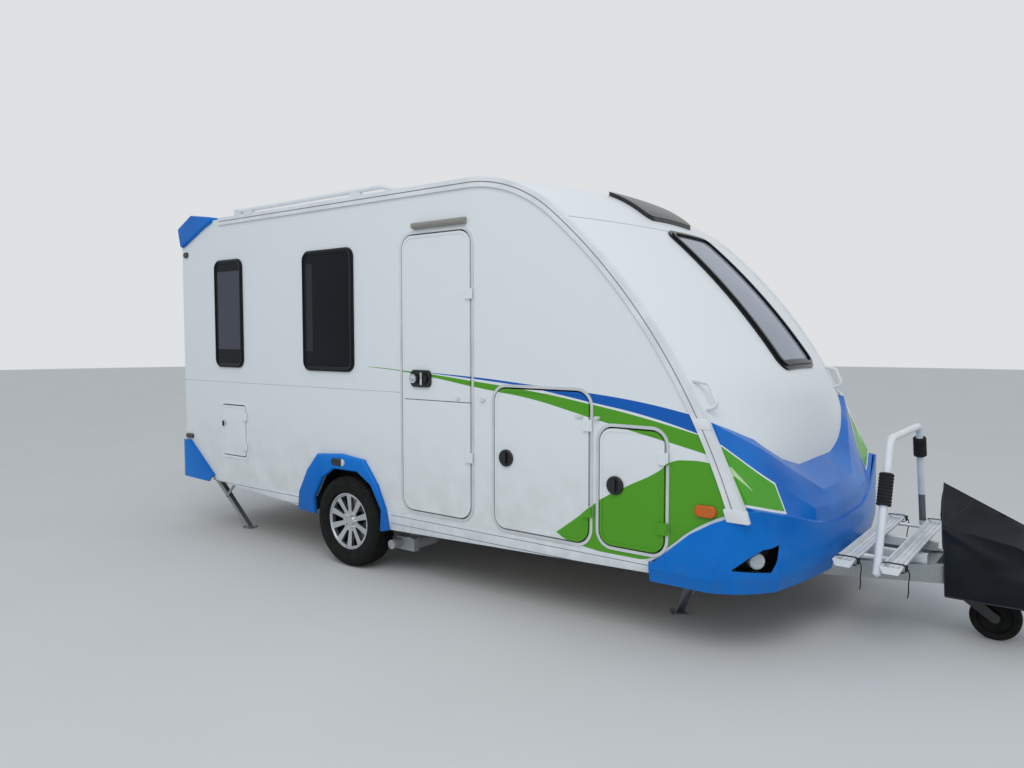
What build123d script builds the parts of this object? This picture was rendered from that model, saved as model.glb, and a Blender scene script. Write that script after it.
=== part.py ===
from build123d import *
import math
import os

# Travel caravan, parked on its wheels, its jockey wheel and its corner steadies.
# Millimetres. +X is forward, +Y is left, +Z is up, and the origin is on the
# ground at the centre of the overall length. The entrance door is on the right, at -Y.
# Lengths along the body are counted from the outer face of the rear wall, and at()
# turns them into X. The turn is where the level roof starts to fall to the front, and
# the foot is where the front's side outline ends.

# Body shell
ROOF_LENGTH = 3060.0
WALL_HALF = 1154.0
WALL = 32.0
FLOOR_Z = 430.0
FLOOR = 42.0
ROOF_Z = 2455.0
CROWN = 45.0
CROWN_AHEAD = 121.0
REAR_CORNER = 120.0
CHIN_BACK = 452.0

# Front outline from the turn down: radius of each tangent arc, and the angle of its
# normal above level where it ends. First at the walls, then on the centre line.
SIDE_ARCS = [(950.0, 50.0), (3400.0, 31.6), (3400.0, 27.7), (3400.0, 18.6)]
CROWN_ARCS = [(900.0, 52.0), (4200.0, 35.0), (500.0, 8.0), (6000.0, 4.0)]

# Lengths of what stands out at the two ends
BUMPER_PROUD = 80.0
NOSE_PROUD = 232.4
COUPLING_AHEAD = 900.0
COVER_AHEAD = 60.0

# Leaves, their frames and hinges
LEAF_GAP = 9.0
LEAF_PROUD = 6.0
LEAF_RIM = 16.0
LEAF_RIM_PROUD = 3.0
FRAME_WIDTH = 16.0
FRAME_PROUD = 5.0
HINGE_OUT = 16.0
HINGE_ASIDE = 10.0
HINGE_R = 7.0
HINGE_LONG = 60.0
STRAP_LONG = 30.0
KNOB_R = 48.0
KNOB_PROUD = 14.0

# Windows
WINDOW_CORNER = 65.0
WINDOW_FRAME = 35.0
WINDOW_REBATE = 25.0
FRAME_STEP = 12.0
FRAME_BEAD = 22.0
BEAD_WIDTH = 11.0
PANE = 10.0
PANE_SUNK = 4.0
FRONT_WINDOW_HALF = 290.0
FRONT_WINDOW_LONG = 1110.0
FRONT_FRAME = 58.0
FRONT_BEAD = 20.0
FRONT_WINDOW_CORNER = 88.0
FRONT_WINDOW_SHARE = 0.595

# Wheels, arches and axle
AXLE_BACK = 1063.0
TYRE_R = 307.5
TYRE_WIDTH = 185.0
WHEEL_PROUD = 28.0
RIM_R = 190.0
RIM_WALL = 8.0
SPOKES = 10
HUB_R = 58.0
ARCH_PROUD = 32.0
ARCH_EDGE = 10.0
ARCH_COVER = 22.0
HOUSING_GAP = 75.0
HOUSING_WALL = 4.0
HOUSING_WIDE = 196.0
AXLE_R = 42.0
AXLE_AHEAD = 150.0
AXLE_ABOVE = 52.5
DRUM_R = 105.0

# Chassis, drawbar and coupling
RAIL_HALF = 450.0
RAIL_WIDE = 50.0
RAIL_DEEP = 130.0
RAIL_WALL = 6.0
DRAW_BACK = 107.6
DRAW_WIDE = 50.0
DRAW_HIGH = 90.0
DRAW_UNDER = 140.0
DRAW_END_BACK = 230.0
DRAW_END_HALF = 70.0
BALL_R = 25.2
HEAD_R = 46.0
SHAFT_R = 25.0

# Jockey wheel, handbrake and cover
JOCKEY_BACK = 349.0
JOCKEY_POST_R = 30.0
JOCKEY_WALL = 3.5
JOCKEY_TUBE_R = 24.0
JOCKEY_WHEEL_R = 117.0
JOCKEY_WHEEL_WIDE = 60.0
JOCKEY_TRAIL = 133.0
FORK_PLATE = 6.0
FORK_GAP = 6.0
COVER_HALF = 190.0
COVER_WALL = 8.0

# Corner steadies: name, pivot and foot each from the rear wall and from the centre
STEADY_PIVOT_DOWN = 45.0
STEADY_SHARE = 0.36
LEG_WIDE = 44.0
LEG_DEEP = 34.0
LEG_WALL = 4.0
FOOT_PLATE = 86.0
FOOT_THICK = 6.0
EAR_GAP = 5.0
EAR = 6.0
PIN_R = 7.7
PIN_PLAY = 0.3
STRUT_R = 10.0

# Bicycle rack on the drawbar
HOOP_AHEAD = 240.0
RACK_SPREAD = (-143.0, 73.0)
RACK_RAIL_HALF = 645.0
RACK_RAIL_WIDE = 96.0
RACK_RAIL_DEEP = 32.0
RACK_LIFT = 45.0
HOOP_R = 19.0
HOOP_FOOT_HALF = 592.0
HOOP_TOP_HALF = 372.0
HOOP_HIGH = 640.0
HOOP_BEND = 75.0

# Awning rail, skirts, bumper and apron
RAIL_START = 540.0
AWNING_OVER = 8.0
AWNING_ON = 47.0
AWNING_PROUD = 12.0
AWNING_GROOVE = (16.0, 23.0)
AWNING_TAIL = 38.0
SKIRT_WALL = 4.0
SKIRT_FLANGE = 26.0
BUMPER_OVER = 26.0
BUMPER_CORNER = 110.0
BUMPER_WALL = 10.0
APRON_PROUD = 24.0
APRON_WALL = 10.0
LAMP_R = 40.0
LAMP_DEEP = 60.0


def chain_points(start, top, arcs, inset=0.0):
    """Start, middle and end of each tangent arc, as distance from the rear and height."""
    x = start
    z = top - inset
    angle = 90.0
    rows = []
    for radius, end_angle in arcs:
        r = radius - inset
        begun = math.radians(angle)
        row = []
        for share in (0.0, 0.5, 1.0):
            turned = math.radians(angle + (end_angle - angle) * share)
            row.append((x + r * (math.cos(turned) - math.cos(begun)),
                        z - r * (math.sin(begun) - math.sin(turned))))
        rows.append(row)
        x, z = row[2]
        angle = end_angle
    return rows


# Sizes worked out from the ones above
FOOT_D, FOOT_Z = chain_points(ROOF_LENGTH, ROOF_Z, SIDE_ARCS)[-1][-1]
APRON_NOSE = FOOT_D + NOSE_PROUD
COUPLING_D = APRON_NOSE + COUPLING_AHEAD
COVER_NOSE = COUPLING_D + COVER_AHEAD
REAR = (BUMPER_PROUD - COVER_NOSE) / 2
INNER_HALF = WALL_HALF - WALL
CHIN_D = FOOT_D - CHIN_BACK
AXLE_D = ROOF_LENGTH - AXLE_BACK
WHEEL_OUT = WALL_HALF + WHEEL_PROUD
AXLE_Z = TYRE_R + AXLE_ABOVE
HOUSING_HALF = TYRE_R + HOUSING_GAP
HOUSING_TOP = 2 * TYRE_R + HOUSING_GAP
CHASSIS_Z = FLOOR_Z - RAIL_DEEP
DRAW_START = FOOT_D - DRAW_BACK
DRAW_END = COUPLING_D - DRAW_END_BACK
DRAW_Z = FLOOR_Z - DRAW_UNDER
DRAW_TOP = DRAW_Z + DRAW_HIGH
JOCKEY_D = COUPLING_D - JOCKEY_BACK
HOOP_D = APRON_NOSE + HOOP_AHEAD
RACK_Z = DRAW_TOP + RACK_LIFT
STEADY_Z = FLOOR_Z - STEADY_PIVOT_DOWN


def at(distance):
    """X of a point so far in front of the rear wall's outer face."""
    return REAR + distance


# Openings in a side wall: from, to, bottom, top, corner radius
DOOR = (ROOF_LENGTH - 538.0, ROOF_LENGTH + 31.0, FLOOR_Z + 34.0, ROOF_Z - 279.0, 90.0)
GARAGE = (ROOF_LENGTH + 199.0, ROOF_LENGTH + 842.0, FLOOR_Z + 23.0, FLOOR_Z + 836.0, 85.0)
GAS = (ROOF_LENGTH + 895.0, ROOF_LENGTH + 1277.0, FLOOR_Z + 38.0, FLOOR_Z + 660.0, 80.0)
SERVICE = (530.0, 850.0, FLOOR_Z + 200.0, FLOOR_Z + 600.0, 30.0)

# Side windows: from, to, bottom, top, corner radius
WINDOWS_RIGHT = [
    (470.0, 831.0, FLOOR_Z + 885.0, ROOF_Z - 315.0, WINDOW_CORNER),
    (AXLE_D - 446.0, AXLE_D + 78.0, FLOOR_Z + 885.0, ROOF_Z - 315.0, WINDOW_CORNER),
]
WINDOWS_LEFT = [
    (470.0, 831.0, FLOOR_Z + 885.0, ROOF_Z - 315.0, WINDOW_CORNER),
    (AXLE_D - 446.0, AXLE_D + 578.0, FLOOR_Z + 885.0, ROOF_Z - 490.0, WINDOW_CORNER),
]
# Rear window: half width, bottom, top
REAR_WINDOW = (520.0, FLOOR_Z + 900.0, ROOF_Z - 525.0)

# Wheel arch outlines round the wheel's centre: angle from forwards, distance outside the tread
ARCH_OUTER = [(178, 207), (163, 213), (142, 206), (124, 218), (96, 150), (68, 160), (43, 103), (20, 87),
              (0, 97), (-3, 33)]
ARCH_INNER = [(185, 19), (160, 51), (132, 57), (110, 62), (72, 58), (48, 58), (20, 52), (-5, 21)]

# Apron bowl, one plan outline at each height: height, half width, where the straight side ends,
# corner from the foot, corner from the centre, front on the centre line from the foot
APRON_ROWS = [
    (330.0, WALL_HALF + 4.0, -148.0, 107.0, WALL_HALF - 214.0, NOSE_PROUD - 10.0),
    (400.0, WALL_HALF + APRON_PROUD, -128.0, 127.0, WALL_HALF - 204.0, NOSE_PROUD),
    (FOOT_Z + 32.0, WALL_HALF + APRON_PROUD, -18.0, 84.0, WALL_HALF - 34.0, NOSE_PROUD - 50.0),
]
# Upper moulding, one upright section at each distance from the centre. Pairs from the foot:
# top edge on the panel, crest of the blade, foot of the blade, foot of the facing, ledge
APRON_SECTIONS = [
    (WALL_HALF - 34.0, (-159, 430), (-137, 421), (-108, 327), (36, 44), (60, 34)),
    (800.0, (-74, 327), (-26, 277), (34, 119), (97, -33), (122, -45)),
    (531.0, (-36, 217), (54, 137), (160, -41), (166, -107), (172, -115)),
    (298.0, (-6, 149), (135, 17), (172, -58), (187, -113), (192, -153)),
    (0.0, (-2, 149), (144, 19), (180, -58), (195, -113), (199, -153)),
]
# Apron's slanted side edge, from the floor's front corner up to the foot of the rail
APRON_EDGE = [(CHIN_D + 20.0, FLOOR_Z + 1.0), (CHIN_D + 114.0, FLOOR_Z + 85.0),
              (CHIN_D + 216.0, FLOOR_Z + 173.0),
              (CHIN_D + 324.0, FLOOR_Z + 238.0), (FOOT_D - 7.0, FOOT_Z + 10.0)]
# Lamp recess in the apron's corner, seen square on: along the corner and up
LAMP_RECESS = [(-131, -31), (-67, 22), (4, 64), (106, 72), (92, 10), (61, -47)]
LAMP_TURN = 42.0

# Bumper's end, seen from the side: distance and height
BUMPER_SIDE = [(-BUMPER_PROUD, FLOOR_Z - 20.0), (352.0, FLOOR_Z - 33.0), (411.0, FLOOR_Z + 21.0),
               (76.0, FLOOR_Z + 279.0), (-28.0, FLOOR_Z + 279.0), (-BUMPER_PROUD, FLOOR_Z + 170.0)]
# Rear roof cap, seen from the side: distance and height over the roof
CAP_SIDE = [(-28.0, -31.0), (10.0, -193.0), (349.0, -47.0), (530.0, 13.0), (168.0, 62.0)]

STEADIES = [
    ("rear_right", 200.0, 154.0 - WALL_HALF, 530.0, 224.0 - WALL_HALF),
    ("rear_left", 200.0, WALL_HALF - 154.0, 530.0, WALL_HALF - 224.0),
    ("front_right", FOOT_D - 257.6, 134.0 - WALL_HALF, FOOT_D - 537.6, 514.0 - WALL_HALF),
    ("front_left", FOOT_D - 257.6, WALL_HALF - 134.0, FOOT_D - 537.6, WALL_HALF - 514.0),
]


# Helpers

def box(x0, x1, y0, y1, z0, z1):
    """Box from its six faces."""
    centre = Location(((x0 + x1) / 2, (y0 + y1) / 2, (z0 + z1) / 2))
    return centre * Box(abs(x1 - x0), abs(y1 - y0), abs(z1 - z0))


def side_plane(y):
    """Plane at y, drawn in X and Z, that extrudes towards the right side."""
    return Plane(origin=(0, y, 0), x_dir=(1, 0, 0), z_dir=(0, -1, 0))


def side_slab(face, y0, y1):
    """Face drawn in X and Z, extruded from y0 to the larger y1."""
    return extrude(side_plane(y1) * face, amount=y1 - y0)


def front_slab(face, x0, x1):
    """Face drawn in Y and Z, extruded from x0 to the larger x1."""
    return extrude(Plane.YZ.offset(x0) * face, amount=x1 - x0)


def polygon(points):
    """Face with straight sides through 2-D points."""
    return make_face(Polyline(*points, close=True))


def side_polygon(rows):
    """Side face through points given as distance from the rear wall and height."""
    return polygon([(at(d), z) for d, z in rows])


def softened(face, radius):
    """A face with all its corners rounded."""
    return fillet(face.vertices(), radius)


def rounded(x0, x1, z0, z1, radius):
    """Rounded rectangle between its sides."""
    return Pos((x0 + x1) / 2, (z0 + z1) / 2) * RectangleRounded(x1 - x0, z1 - z0, radius)


def rounded_at(opening, grow=0.0):
    """Rounded rectangle of an opening's table row, grown all round."""
    d0, d1, z0, z1, radius = opening
    return rounded(at(d0) - grow, at(d1) + grow, z0 - grow, z1 + grow, radius + grow)


def other_side(shape):
    """The same piece on the other side of the caravan."""
    return mirror(shape, about=Plane.XZ)


def both(shape):
    """A piece and its mirror image, as two solids."""
    return Compound(children=[shape, other_side(shape)])


def rod(start, end, radius):
    """Round bar between two points."""
    run = Vector(*end) - Vector(*start)
    plane = Plane(origin=start, z_dir=run)
    return extrude(plane * Circle(radius), amount=run.length)


def cross_rod(x, z, y0, y1, radius):
    """Round bar across the caravan."""
    return rod((x, y0, z), (x, y1, z), radius)


def bent_rod(points, radius, bend):
    """Round bar along straight runs with rounded corners."""
    path = FilletPolyline(*points, radius=bend)
    return sweep(Plane(origin=path @ 0, z_dir=path % 0) * Circle(radius), path=path)


def turned(x, z, rows):
    """Round piece about a cross axis, from rows of radius and Y."""
    plane = Plane(origin=(x, 0, z), x_dir=(1, 0, 0), z_dir=(0, 0, 1))
    return revolve(plane * polygon(rows), axis=Axis((x, 0, z), (0, 1, 0)))


def save(name, *shapes):
    """Write one node. Pieces that don't touch stay separate solids."""
    solids = []
    for shape in shapes:
        solids.extend(shape.solids())
    whole = solids[0] if len(solids) == 1 else Compound(children=solids)
    export_step(whole, "parts/" + name + ".step")


# Body shell

def front_curve(y, inset):
    """Arcs of the front at y, moved inwards by an inset, with the crown of that place."""
    side = chain_points(ROOF_LENGTH, ROOF_Z, SIDE_ARCS, inset)
    middle = chain_points(ROOF_LENGTH + CROWN_AHEAD, ROOF_Z + CROWN, CROWN_ARCS, inset)
    crown = 1.0 - (y / INNER_HALF) ** 2
    edges = []
    for side_row, middle_row in zip(side, middle):
        row = []
        for (d0, z0), (d1, z1) in zip(side_row, middle_row):
            row.append((at(d0 + (d1 - d0) * crown), z0 + (z1 - z0) * crown))
        edges.append(ThreePointArc(*row))
    return edges


def curve_band(y, low, high):
    """Face between two insets of the front at y, with straight ends."""
    outer = front_curve(y, low)
    inner = front_curve(y, high)
    edges = outer + inner
    edges.append(Line(outer[0] @ 0, inner[0] @ 0))
    edges.append(Line(outer[-1] @ 1, inner[-1] @ 1))
    return side_plane(y) * make_face(edges)


def front_skin(half, low, high):
    """Sheet that follows the crowned front between two insets, so far each side."""
    return loft([curve_band(y, low, high) for y in (half, 0.0, -half)])


def rear_bend(corner, roof_z, inset):
    """Start, middle and end of the roof's bend down to the rear wall."""
    radius = corner - inset
    slant = radius * math.sqrt(0.5)
    centre_x = REAR + corner
    centre_z = roof_z - corner
    return [(centre_x, centre_z + radius),
            (centre_x - slant, centre_z + slant),
            (centre_x - radius, centre_z)]


def wall_outline():
    """Side outline of the body."""
    edges = front_curve(INNER_HALF, 0.0)
    bend = rear_bend(REAR_CORNER, ROOF_Z, 0.0)
    edges.append(Line(edges[0] @ 0, bend[0]))
    edges.append(ThreePointArc(*bend))
    edges.append(Polyline(bend[2], (REAR, FLOOR_Z), (at(CHIN_D), FLOOR_Z), edges[-3] @ 1))
    return make_face(edges)


def roof_band(y, turn, roof_z, corner):
    """Section of the roof panel, with its rounded rear corner."""
    outer = rear_bend(corner, roof_z, 0.0)
    inner = rear_bend(corner, roof_z, WALL)
    edges = [
        Polyline(inner[0], (at(turn), roof_z - WALL), (at(turn), roof_z), outer[0]),
        ThreePointArc(*outer),
        Line(outer[2], inner[2]),
        ThreePointArc(*inner),
    ]
    return side_plane(y) * make_face(edges)


def roof_panel():
    """Roof panel, slightly crowned, rolled down to the rear wall."""
    side = (ROOF_LENGTH, ROOF_Z, REAR_CORNER)
    middle = (ROOF_LENGTH + CROWN_AHEAD, ROOF_Z + CROWN, REAR_CORNER + CROWN)
    return loft([roof_band(INNER_HALF, *side), roof_band(0.0, *middle), roof_band(-INNER_HALF, *side)])


def arch_outline(rows, extra=0.0):
    """Wheel arch outline, from angles round the wheel and distances from its tread."""
    points = []
    for degrees, gap in rows:
        radius = TYRE_R + gap + extra
        angle = math.radians(degrees)
        points.append((at(AXLE_D) + radius * math.cos(angle), TYRE_R + radius * math.sin(angle)))
    return polygon(points)


def window_plane():
    """Plane square to the front panel at the middle of its window."""
    curve = front_curve(0.0, 0.0)[1]
    middle = curve @ FRONT_WINDOW_SHARE
    run = curve.tangent_at(FRONT_WINDOW_SHARE)
    return Plane(origin=(middle.X, 0, middle.Y), x_dir=(0, 1, 0), z_dir=(-run.Y, 0, run.X))


def through_front(grow, deep=200.0):
    """Prism through the front panel, of the front window's outline grown by so much."""
    half = FRONT_WINDOW_HALF + grow
    outline = RectangleRounded(2 * half, FRONT_WINDOW_LONG + 2 * grow, FRONT_WINDOW_CORNER + grow)
    return extrude(FRONT_WINDOW_PLANE.offset(-deep / 2) * outline, amount=deep)


def side_wall(windows, openings):
    """Right side wall with its windows, openings and wheel arch cut."""
    cuts = [rounded_at(row, -WINDOW_REBATE) for row in windows]
    cuts += [rounded_at(row) for row in openings]
    cuts.append(arch_outline(ARCH_INNER, ARCH_COVER))
    wall = side_slab(wall_outline(), -WALL_HALF, -INNER_HALF)
    for cut in cuts:
        wall -= side_slab(cut, -WALL_HALF - WALL, -INNER_HALF + WALL)
    return wall


def floor_panel():
    """Floor, cut away for the wheel housings."""
    top = FLOOR_Z + FLOOR
    floor = box(REAR + WALL, at(DRAW_START + RAIL_WIDE), -INNER_HALF, INNER_HALF, FLOOR_Z, top)
    back = at(AXLE_D) - HOUSING_HALF
    front = at(AXLE_D) + HOUSING_HALF
    return floor - both(box(back, front, INNER_HALF - HOUSING_WIDE, INNER_HALF, FLOOR_Z, top))


def body_nodes():
    """Walls, roof, floor and wheel housings."""
    save("side_wall_right", side_wall(WINDOWS_RIGHT, [DOOR, GARAGE, GAS, SERVICE]))
    save("side_wall_left", other_side(side_wall(WINDOWS_LEFT, [GARAGE])))

    rear = box(REAR, REAR + WALL, -INNER_HALF, INNER_HALF, FLOOR_Z, ROOF_Z - REAR_CORNER)
    save("rear_wall", rear - front_slab(rear_window(-WINDOW_REBATE), REAR - WALL, REAR + 2 * WALL))
    save("roof_panel", ROOF_PANEL)
    save("front_panel", FRONT_PANEL - through_front(-WINDOW_REBATE))

    save("floor_panel", floor_panel())
    floor_top = FLOOR_Z + FLOOR
    inner_side = INNER_HALF - HOUSING_WIDE
    back = at(AXLE_D) - HOUSING_HALF
    front = at(AXLE_D) + HOUSING_HALF
    skin = HOUSING_WALL
    housing = box(back - skin, front + skin, inner_side - skin, INNER_HALF, floor_top, HOUSING_TOP + skin)
    housing -= box(back, front, inner_side, INNER_HALF, floor_top, HOUSING_TOP)
    save("wheel_housings", both(housing))


# Trim round the body

def awning_rail():
    """Right awning rail: on the wall's edge, over the roof, with a cap at its foot."""
    start = at(RAIL_START)
    turn = at(ROOF_LENGTH)

    def band(low, high):
        outer = front_curve(INNER_HALF, low)
        inner = front_curve(INNER_HALF, high)
        roof = Polyline((turn, ROOF_Z - low), (start, ROOF_Z - low), (start, ROOF_Z - high),
                        (turn, ROOF_Z - high))
        return make_face(outer + inner + [Line(outer[-1] @ 1, inner[-1] @ 1), roof])

    rail = side_slab(band(-AWNING_OVER, AWNING_ON), -WALL_HALF - AWNING_PROUD, -WALL_HALF)
    rail += side_slab(band(-AWNING_OVER, 0.0), -WALL_HALF - AWNING_PROUD, -INNER_HALF)
    tail = side_polygon([(FOOT_D - 170, FOOT_Z + 455), (FOOT_D + AWNING_TAIL, FOOT_Z), (FOOT_D - 40, FOOT_Z)])
    rail += side_slab(tail, -WALL_HALF - AWNING_PROUD, -INNER_HALF) - side_slab(wall_outline(), -WALL_HALF, 0)
    rail -= side_slab(band(*AWNING_GROOVE), -WALL_HALF - AWNING_PROUD, -WALL_HALF - AWNING_PROUD + 5)
    cap = side_polygon([(FOOT_D - 58, FOOT_Z - 8), (FOOT_D + 46, FOOT_Z - 8), (FOOT_D + 38, FOOT_Z + 20),
                        (FOOT_D - 58, FOOT_Z + 20)])
    rail += side_slab(softened(cap, 5), -WALL_HALF - AWNING_PROUD - 5, -WALL_HALF)
    cap_front = side_slab(cap, -WALL_HALF, -INNER_HALF) - side_slab(wall_outline(), -WALL_HALF, 0)
    return rail + cap_front - FRONT_PANEL


def bumper_block(inset):
    """Bumper's solid outline, moved inwards all round by an inset."""
    half = WALL_HALF + BUMPER_OVER - inset
    x0 = REAR - BUMPER_PROUD + inset
    plan = RectangleRounded(2 * BUMPER_SIDE[2][0], 2 * half, BUMPER_CORNER - inset)
    block = extrude(Pos(x0 + BUMPER_SIDE[2][0], 0, FLOOR_Z - 100) * plan, amount=500)
    side = offset(side_polygon(BUMPER_SIDE), -inset, kind=Kind.INTERSECTION)
    return block & side_slab(side, -half, half)


def rear_bumper():
    """Hollow rear bumper with rounded ends, lamp pockets and a bare plate recess."""
    inner = bumper_block(BUMPER_WALL)
    body = box(REAR, at(BUMPER_SIDE[2][0]) + WALL, -WALL_HALF, WALL_HALF, 0, ROOF_Z)
    bumper = bumper_block(0.0) - inner - Pos(0, 0, -2 * BUMPER_WALL) * inner - body
    plate = rounded(-270, 270, FLOOR_Z + 20, FLOOR_Z + 145, 12)
    recess = front_slab(plate, REAR - BUMPER_PROUD, REAR - BUMPER_PROUD + BUMPER_WALL / 2)
    return bumper - recess - both(tail_lamp())


def tail_lamp():
    """Left tail lamp: three round lenses on a long rounded base."""
    face = REAR - BUMPER_PROUD
    lamp = front_slab(rounded(660, 1010, FLOOR_Z + 30, FLOOR_Z + 140, 54), face - 6, face + 2 * BUMPER_WALL)
    for y in (722, 835, 948):
        lamp += rod((face - 14, y, FLOOR_Z + 85), (face, y, FLOOR_Z + 85), 44)
    return lamp


def corner_cap():
    """Right rear roof cap, rounded over the corner of roof and wall."""
    side = softened(side_polygon([(d, ROOF_Z + z) for d, z in CAP_SIDE]), 24)
    cap = side_slab(side, -WALL_HALF - BUMPER_OVER, -INNER_HALF + 200)
    outer = cap.faces().sort_by(Axis.Y)[0]
    cap = fillet(outer.edges(), 14)
    return cap - side_slab(wall_outline(), -WALL_HALF, INNER_HALF) - ROOF_PANEL - AWNING_RAIL


def skirt(rows):
    """Right skirt rail: an upright web with a flange under the floor."""
    web = side_slab(side_polygon(rows), -WALL_HALF, -WALL_HALF + SKIRT_WALL)
    start = at(rows[0][0])
    end = at(rows[-1][0])
    return web + box(start, end, -WALL_HALF, -WALL_HALF + SKIRT_FLANGE, FLOOR_Z - SKIRT_WALL, FLOOR_Z)


def trim_nodes():
    """Bumper, caps, rails, arches and apron."""
    save("rear_bumper", rear_bumper())
    save("tail_lamps", both(tail_lamp()))
    save("rear_corner_caps", both(corner_cap()))
    save("awning_rails", both(AWNING_RAIL))

    arch_back = AXLE_D - TYRE_R - 207
    arch_front = AXLE_D + TYRE_R + 97
    low = FLOOR_Z - 90
    rear_rows = [(411, FLOOR_Z), (411, FLOOR_Z - 17), (arch_back, low), (arch_back, FLOOR_Z)]
    front_rows = [(arch_front, FLOOR_Z), (arch_front, low - 32), (ROOF_LENGTH + 390, low + 3),
                  (CHIN_D - 10, low + 28), (CHIN_D - 10, FLOOR_Z)]
    save("skirt_rails", both(skirt(rear_rows)), both(skirt(front_rows)))

    arch = side_slab(arch_outline(ARCH_OUTER) - arch_outline(ARCH_INNER), -WALL_HALF - ARCH_PROUD, -WALL_HALF)
    front_face = arch.faces().sort_by(Axis.Y)[0]
    save("wheel_arch_trims", both(chamfer(front_face.outer_wire().edges(), ARCH_EDGE)))
    save("front_apron", front_apron())


# Front apron

def apron_plan(height, half, turn, corner_x, corner_y, front, inset):
    """Plan outline of the bowl at one height, moved inwards by an inset."""
    back = at(CHIN_D)
    y = half - inset * APRON_PROUD / APRON_WALL
    turn_x = at(FOOT_D + turn)
    corner = (at(FOOT_D + corner_x) - inset, corner_y - inset)
    middle = (turn_x + (corner[0] - turn_x) * 0.55, y - (y - corner[1]) * 0.36)
    edges = [
        Line((back, y), (turn_x, y)),
        ThreePointArc((turn_x, y), middle, corner),
        ThreePointArc(corner, (at(FOOT_D + front) - inset, 0), (corner[0], -corner[1])),
        ThreePointArc((corner[0], -corner[1]), (middle[0], -middle[1]), (turn_x, -y)),
        Line((turn_x, -y), (back, -y)),
        Line((back, -y), (back, y)),
    ]
    return Plane.XY.offset(height) * make_face(edges)


def apron_bowl(inset, reach):
    """Solid bowl through the plan outlines, lengthened at top and bottom."""
    rows = [list(row) for row in APRON_ROWS]
    rows[0][0] -= reach
    rows[-1][0] += reach
    return loft([apron_plan(*row, inset) for row in rows], ruled=True)


def apron_section(row):
    """Closed upright section of the upper moulding."""
    y = row[0]
    front = [(at(FOOT_D + x), FOOT_Z + z) for x, z in row[1:]]
    top = front[0]
    ledge = front[-1]
    sunk = ledge[1] - 40
    back = [(ledge[0] - 6, sunk), (at(FOOT_D - 260), sunk), (top[0] - 25, top[1])]
    return side_plane(y) * polygon(front + back)


def apron_upper():
    """Upper moulding: a beak in the middle, and a raised blade up to each awning rail."""
    mirrored = [(-row[0],) + row[1:] for row in reversed(APRON_SECTIONS[:-1])]
    solid = loft([apron_section(row) for row in APRON_SECTIONS + mirrored], ruled=True)
    return solid - Pos(-APRON_WALL - 2, 0, -APRON_WALL) * solid


def lamp_plane():
    """Plane of the right lamp recess, facing forwards and outwards."""
    angle = math.radians(LAMP_TURN)
    origin = (at(FOOT_D + 67), -WALL_HALF + 99, (APRON_ROWS[1][0] + FOOT_Z) / 2 - 69)
    return Plane(origin=origin, x_dir=(math.sin(angle), math.cos(angle), 0),
                 z_dir=(math.cos(angle), -math.sin(angle), 0))


def lamp_prism(grow, depth, reach):
    """Lamp recess as a prism from so far behind its plane to so far before it."""
    face = softened(polygon(LAMP_RECESS), 9)
    if grow:
        face = offset(face, grow)
    return extrude(lamp_plane().offset(-depth) * face, amount=depth + reach)


def front_lamp():
    """Right front lamp: a round bowl-fronted lamp at the bottom of its recess."""
    plane = lamp_plane()
    body = extrude(plane.offset(-LAMP_DEEP) * Circle(LAMP_R), amount=LAMP_DEEP * 0.6)
    return fillet(body.faces().sort_by(Axis(plane.origin, plane.z_dir))[-1].edges(), 8)


def front_apron():
    """Moulded lower front: bowl, beak, blades and lamp recesses in one thin shell."""
    ledge = [(row[0], FOOT_Z + row[-1][1]) for row in APRON_SECTIONS]
    line = [(-y, z) for y, z in ledge] + [(y, z) for y, z in reversed(ledge)]
    line.remove(line[len(line) // 2])
    wide = 2 * WALL_HALF
    above = polygon([(-wide, FOOT_Z + 34), *line, (wide, FOOT_Z + 34), (wide, ROOF_Z), (-wide, ROOF_Z)])

    outer = apron_bowl(0.0, 0.0)
    pockets = both(lamp_prism(APRON_WALL / 2, LAMP_DEEP + APRON_WALL / 2, LAMP_DEEP))
    shell = outer - apron_bowl(APRON_WALL, 1.0) + (outer & pockets)
    shell -= both(lamp_prism(0.0, LAMP_DEEP, 2 * LAMP_DEEP))
    shell -= front_slab(above, at(CHIN_D) - WALL, at(APRON_NOSE) + WALL)
    shell += apron_upper()

    edge = APRON_EDGE + [(FOOT_D - 7, ROOF_Z), (CHIN_D - WALL, ROOF_Z), (CHIN_D - WALL, FLOOR_Z + 1)]
    shell -= both(side_slab(side_polygon(edge), -2 * WALL_HALF, -WALL_HALF))
    shell -= side_slab(wall_outline(), -WALL_HALF, WALL_HALF)
    shell -= FRONT_PANEL
    shell -= floor_panel()
    shell -= both(AWNING_RAIL)
    for piece in drawbar_members(12.0):
        shell -= piece
    return shell.solids().sort_by(SortBy.VOLUME)[-1]


# Windows, vents and roof lights

def rear_window(grow):
    """Rear window's rounded outline, grown by so much."""
    half, low, high = REAR_WINDOW
    return rounded(-half - grow, half + grow, low - grow, high + grow, WINDOW_CORNER + grow)


def stepped_frame(outline, slab):
    """Window frame with a raised bead. outline(grow) is a face, slab(face, proud) a solid."""
    flange = slab(outline(0.0) - outline(-WINDOW_FRAME), FRAME_STEP)
    bead = slab(outline(-BEAD_WIDTH) - outline(-2 * BEAD_WIDTH), FRAME_BEAD)
    return flange + bead


def window_frame(window):
    """Right side window's frame, standing on the wall."""
    return stepped_frame(lambda grow: rounded_at(window, grow),
                         lambda face, proud: side_slab(face, -WALL_HALF - proud, -WALL_HALF))


def window_pane(window):
    """Acrylic pane of a right side window, held inside its frame."""
    front = -WALL_HALF - FRAME_STEP + PANE_SUNK
    return side_slab(rounded_at(window, -WINDOW_FRAME), front, front + PANE)


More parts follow.
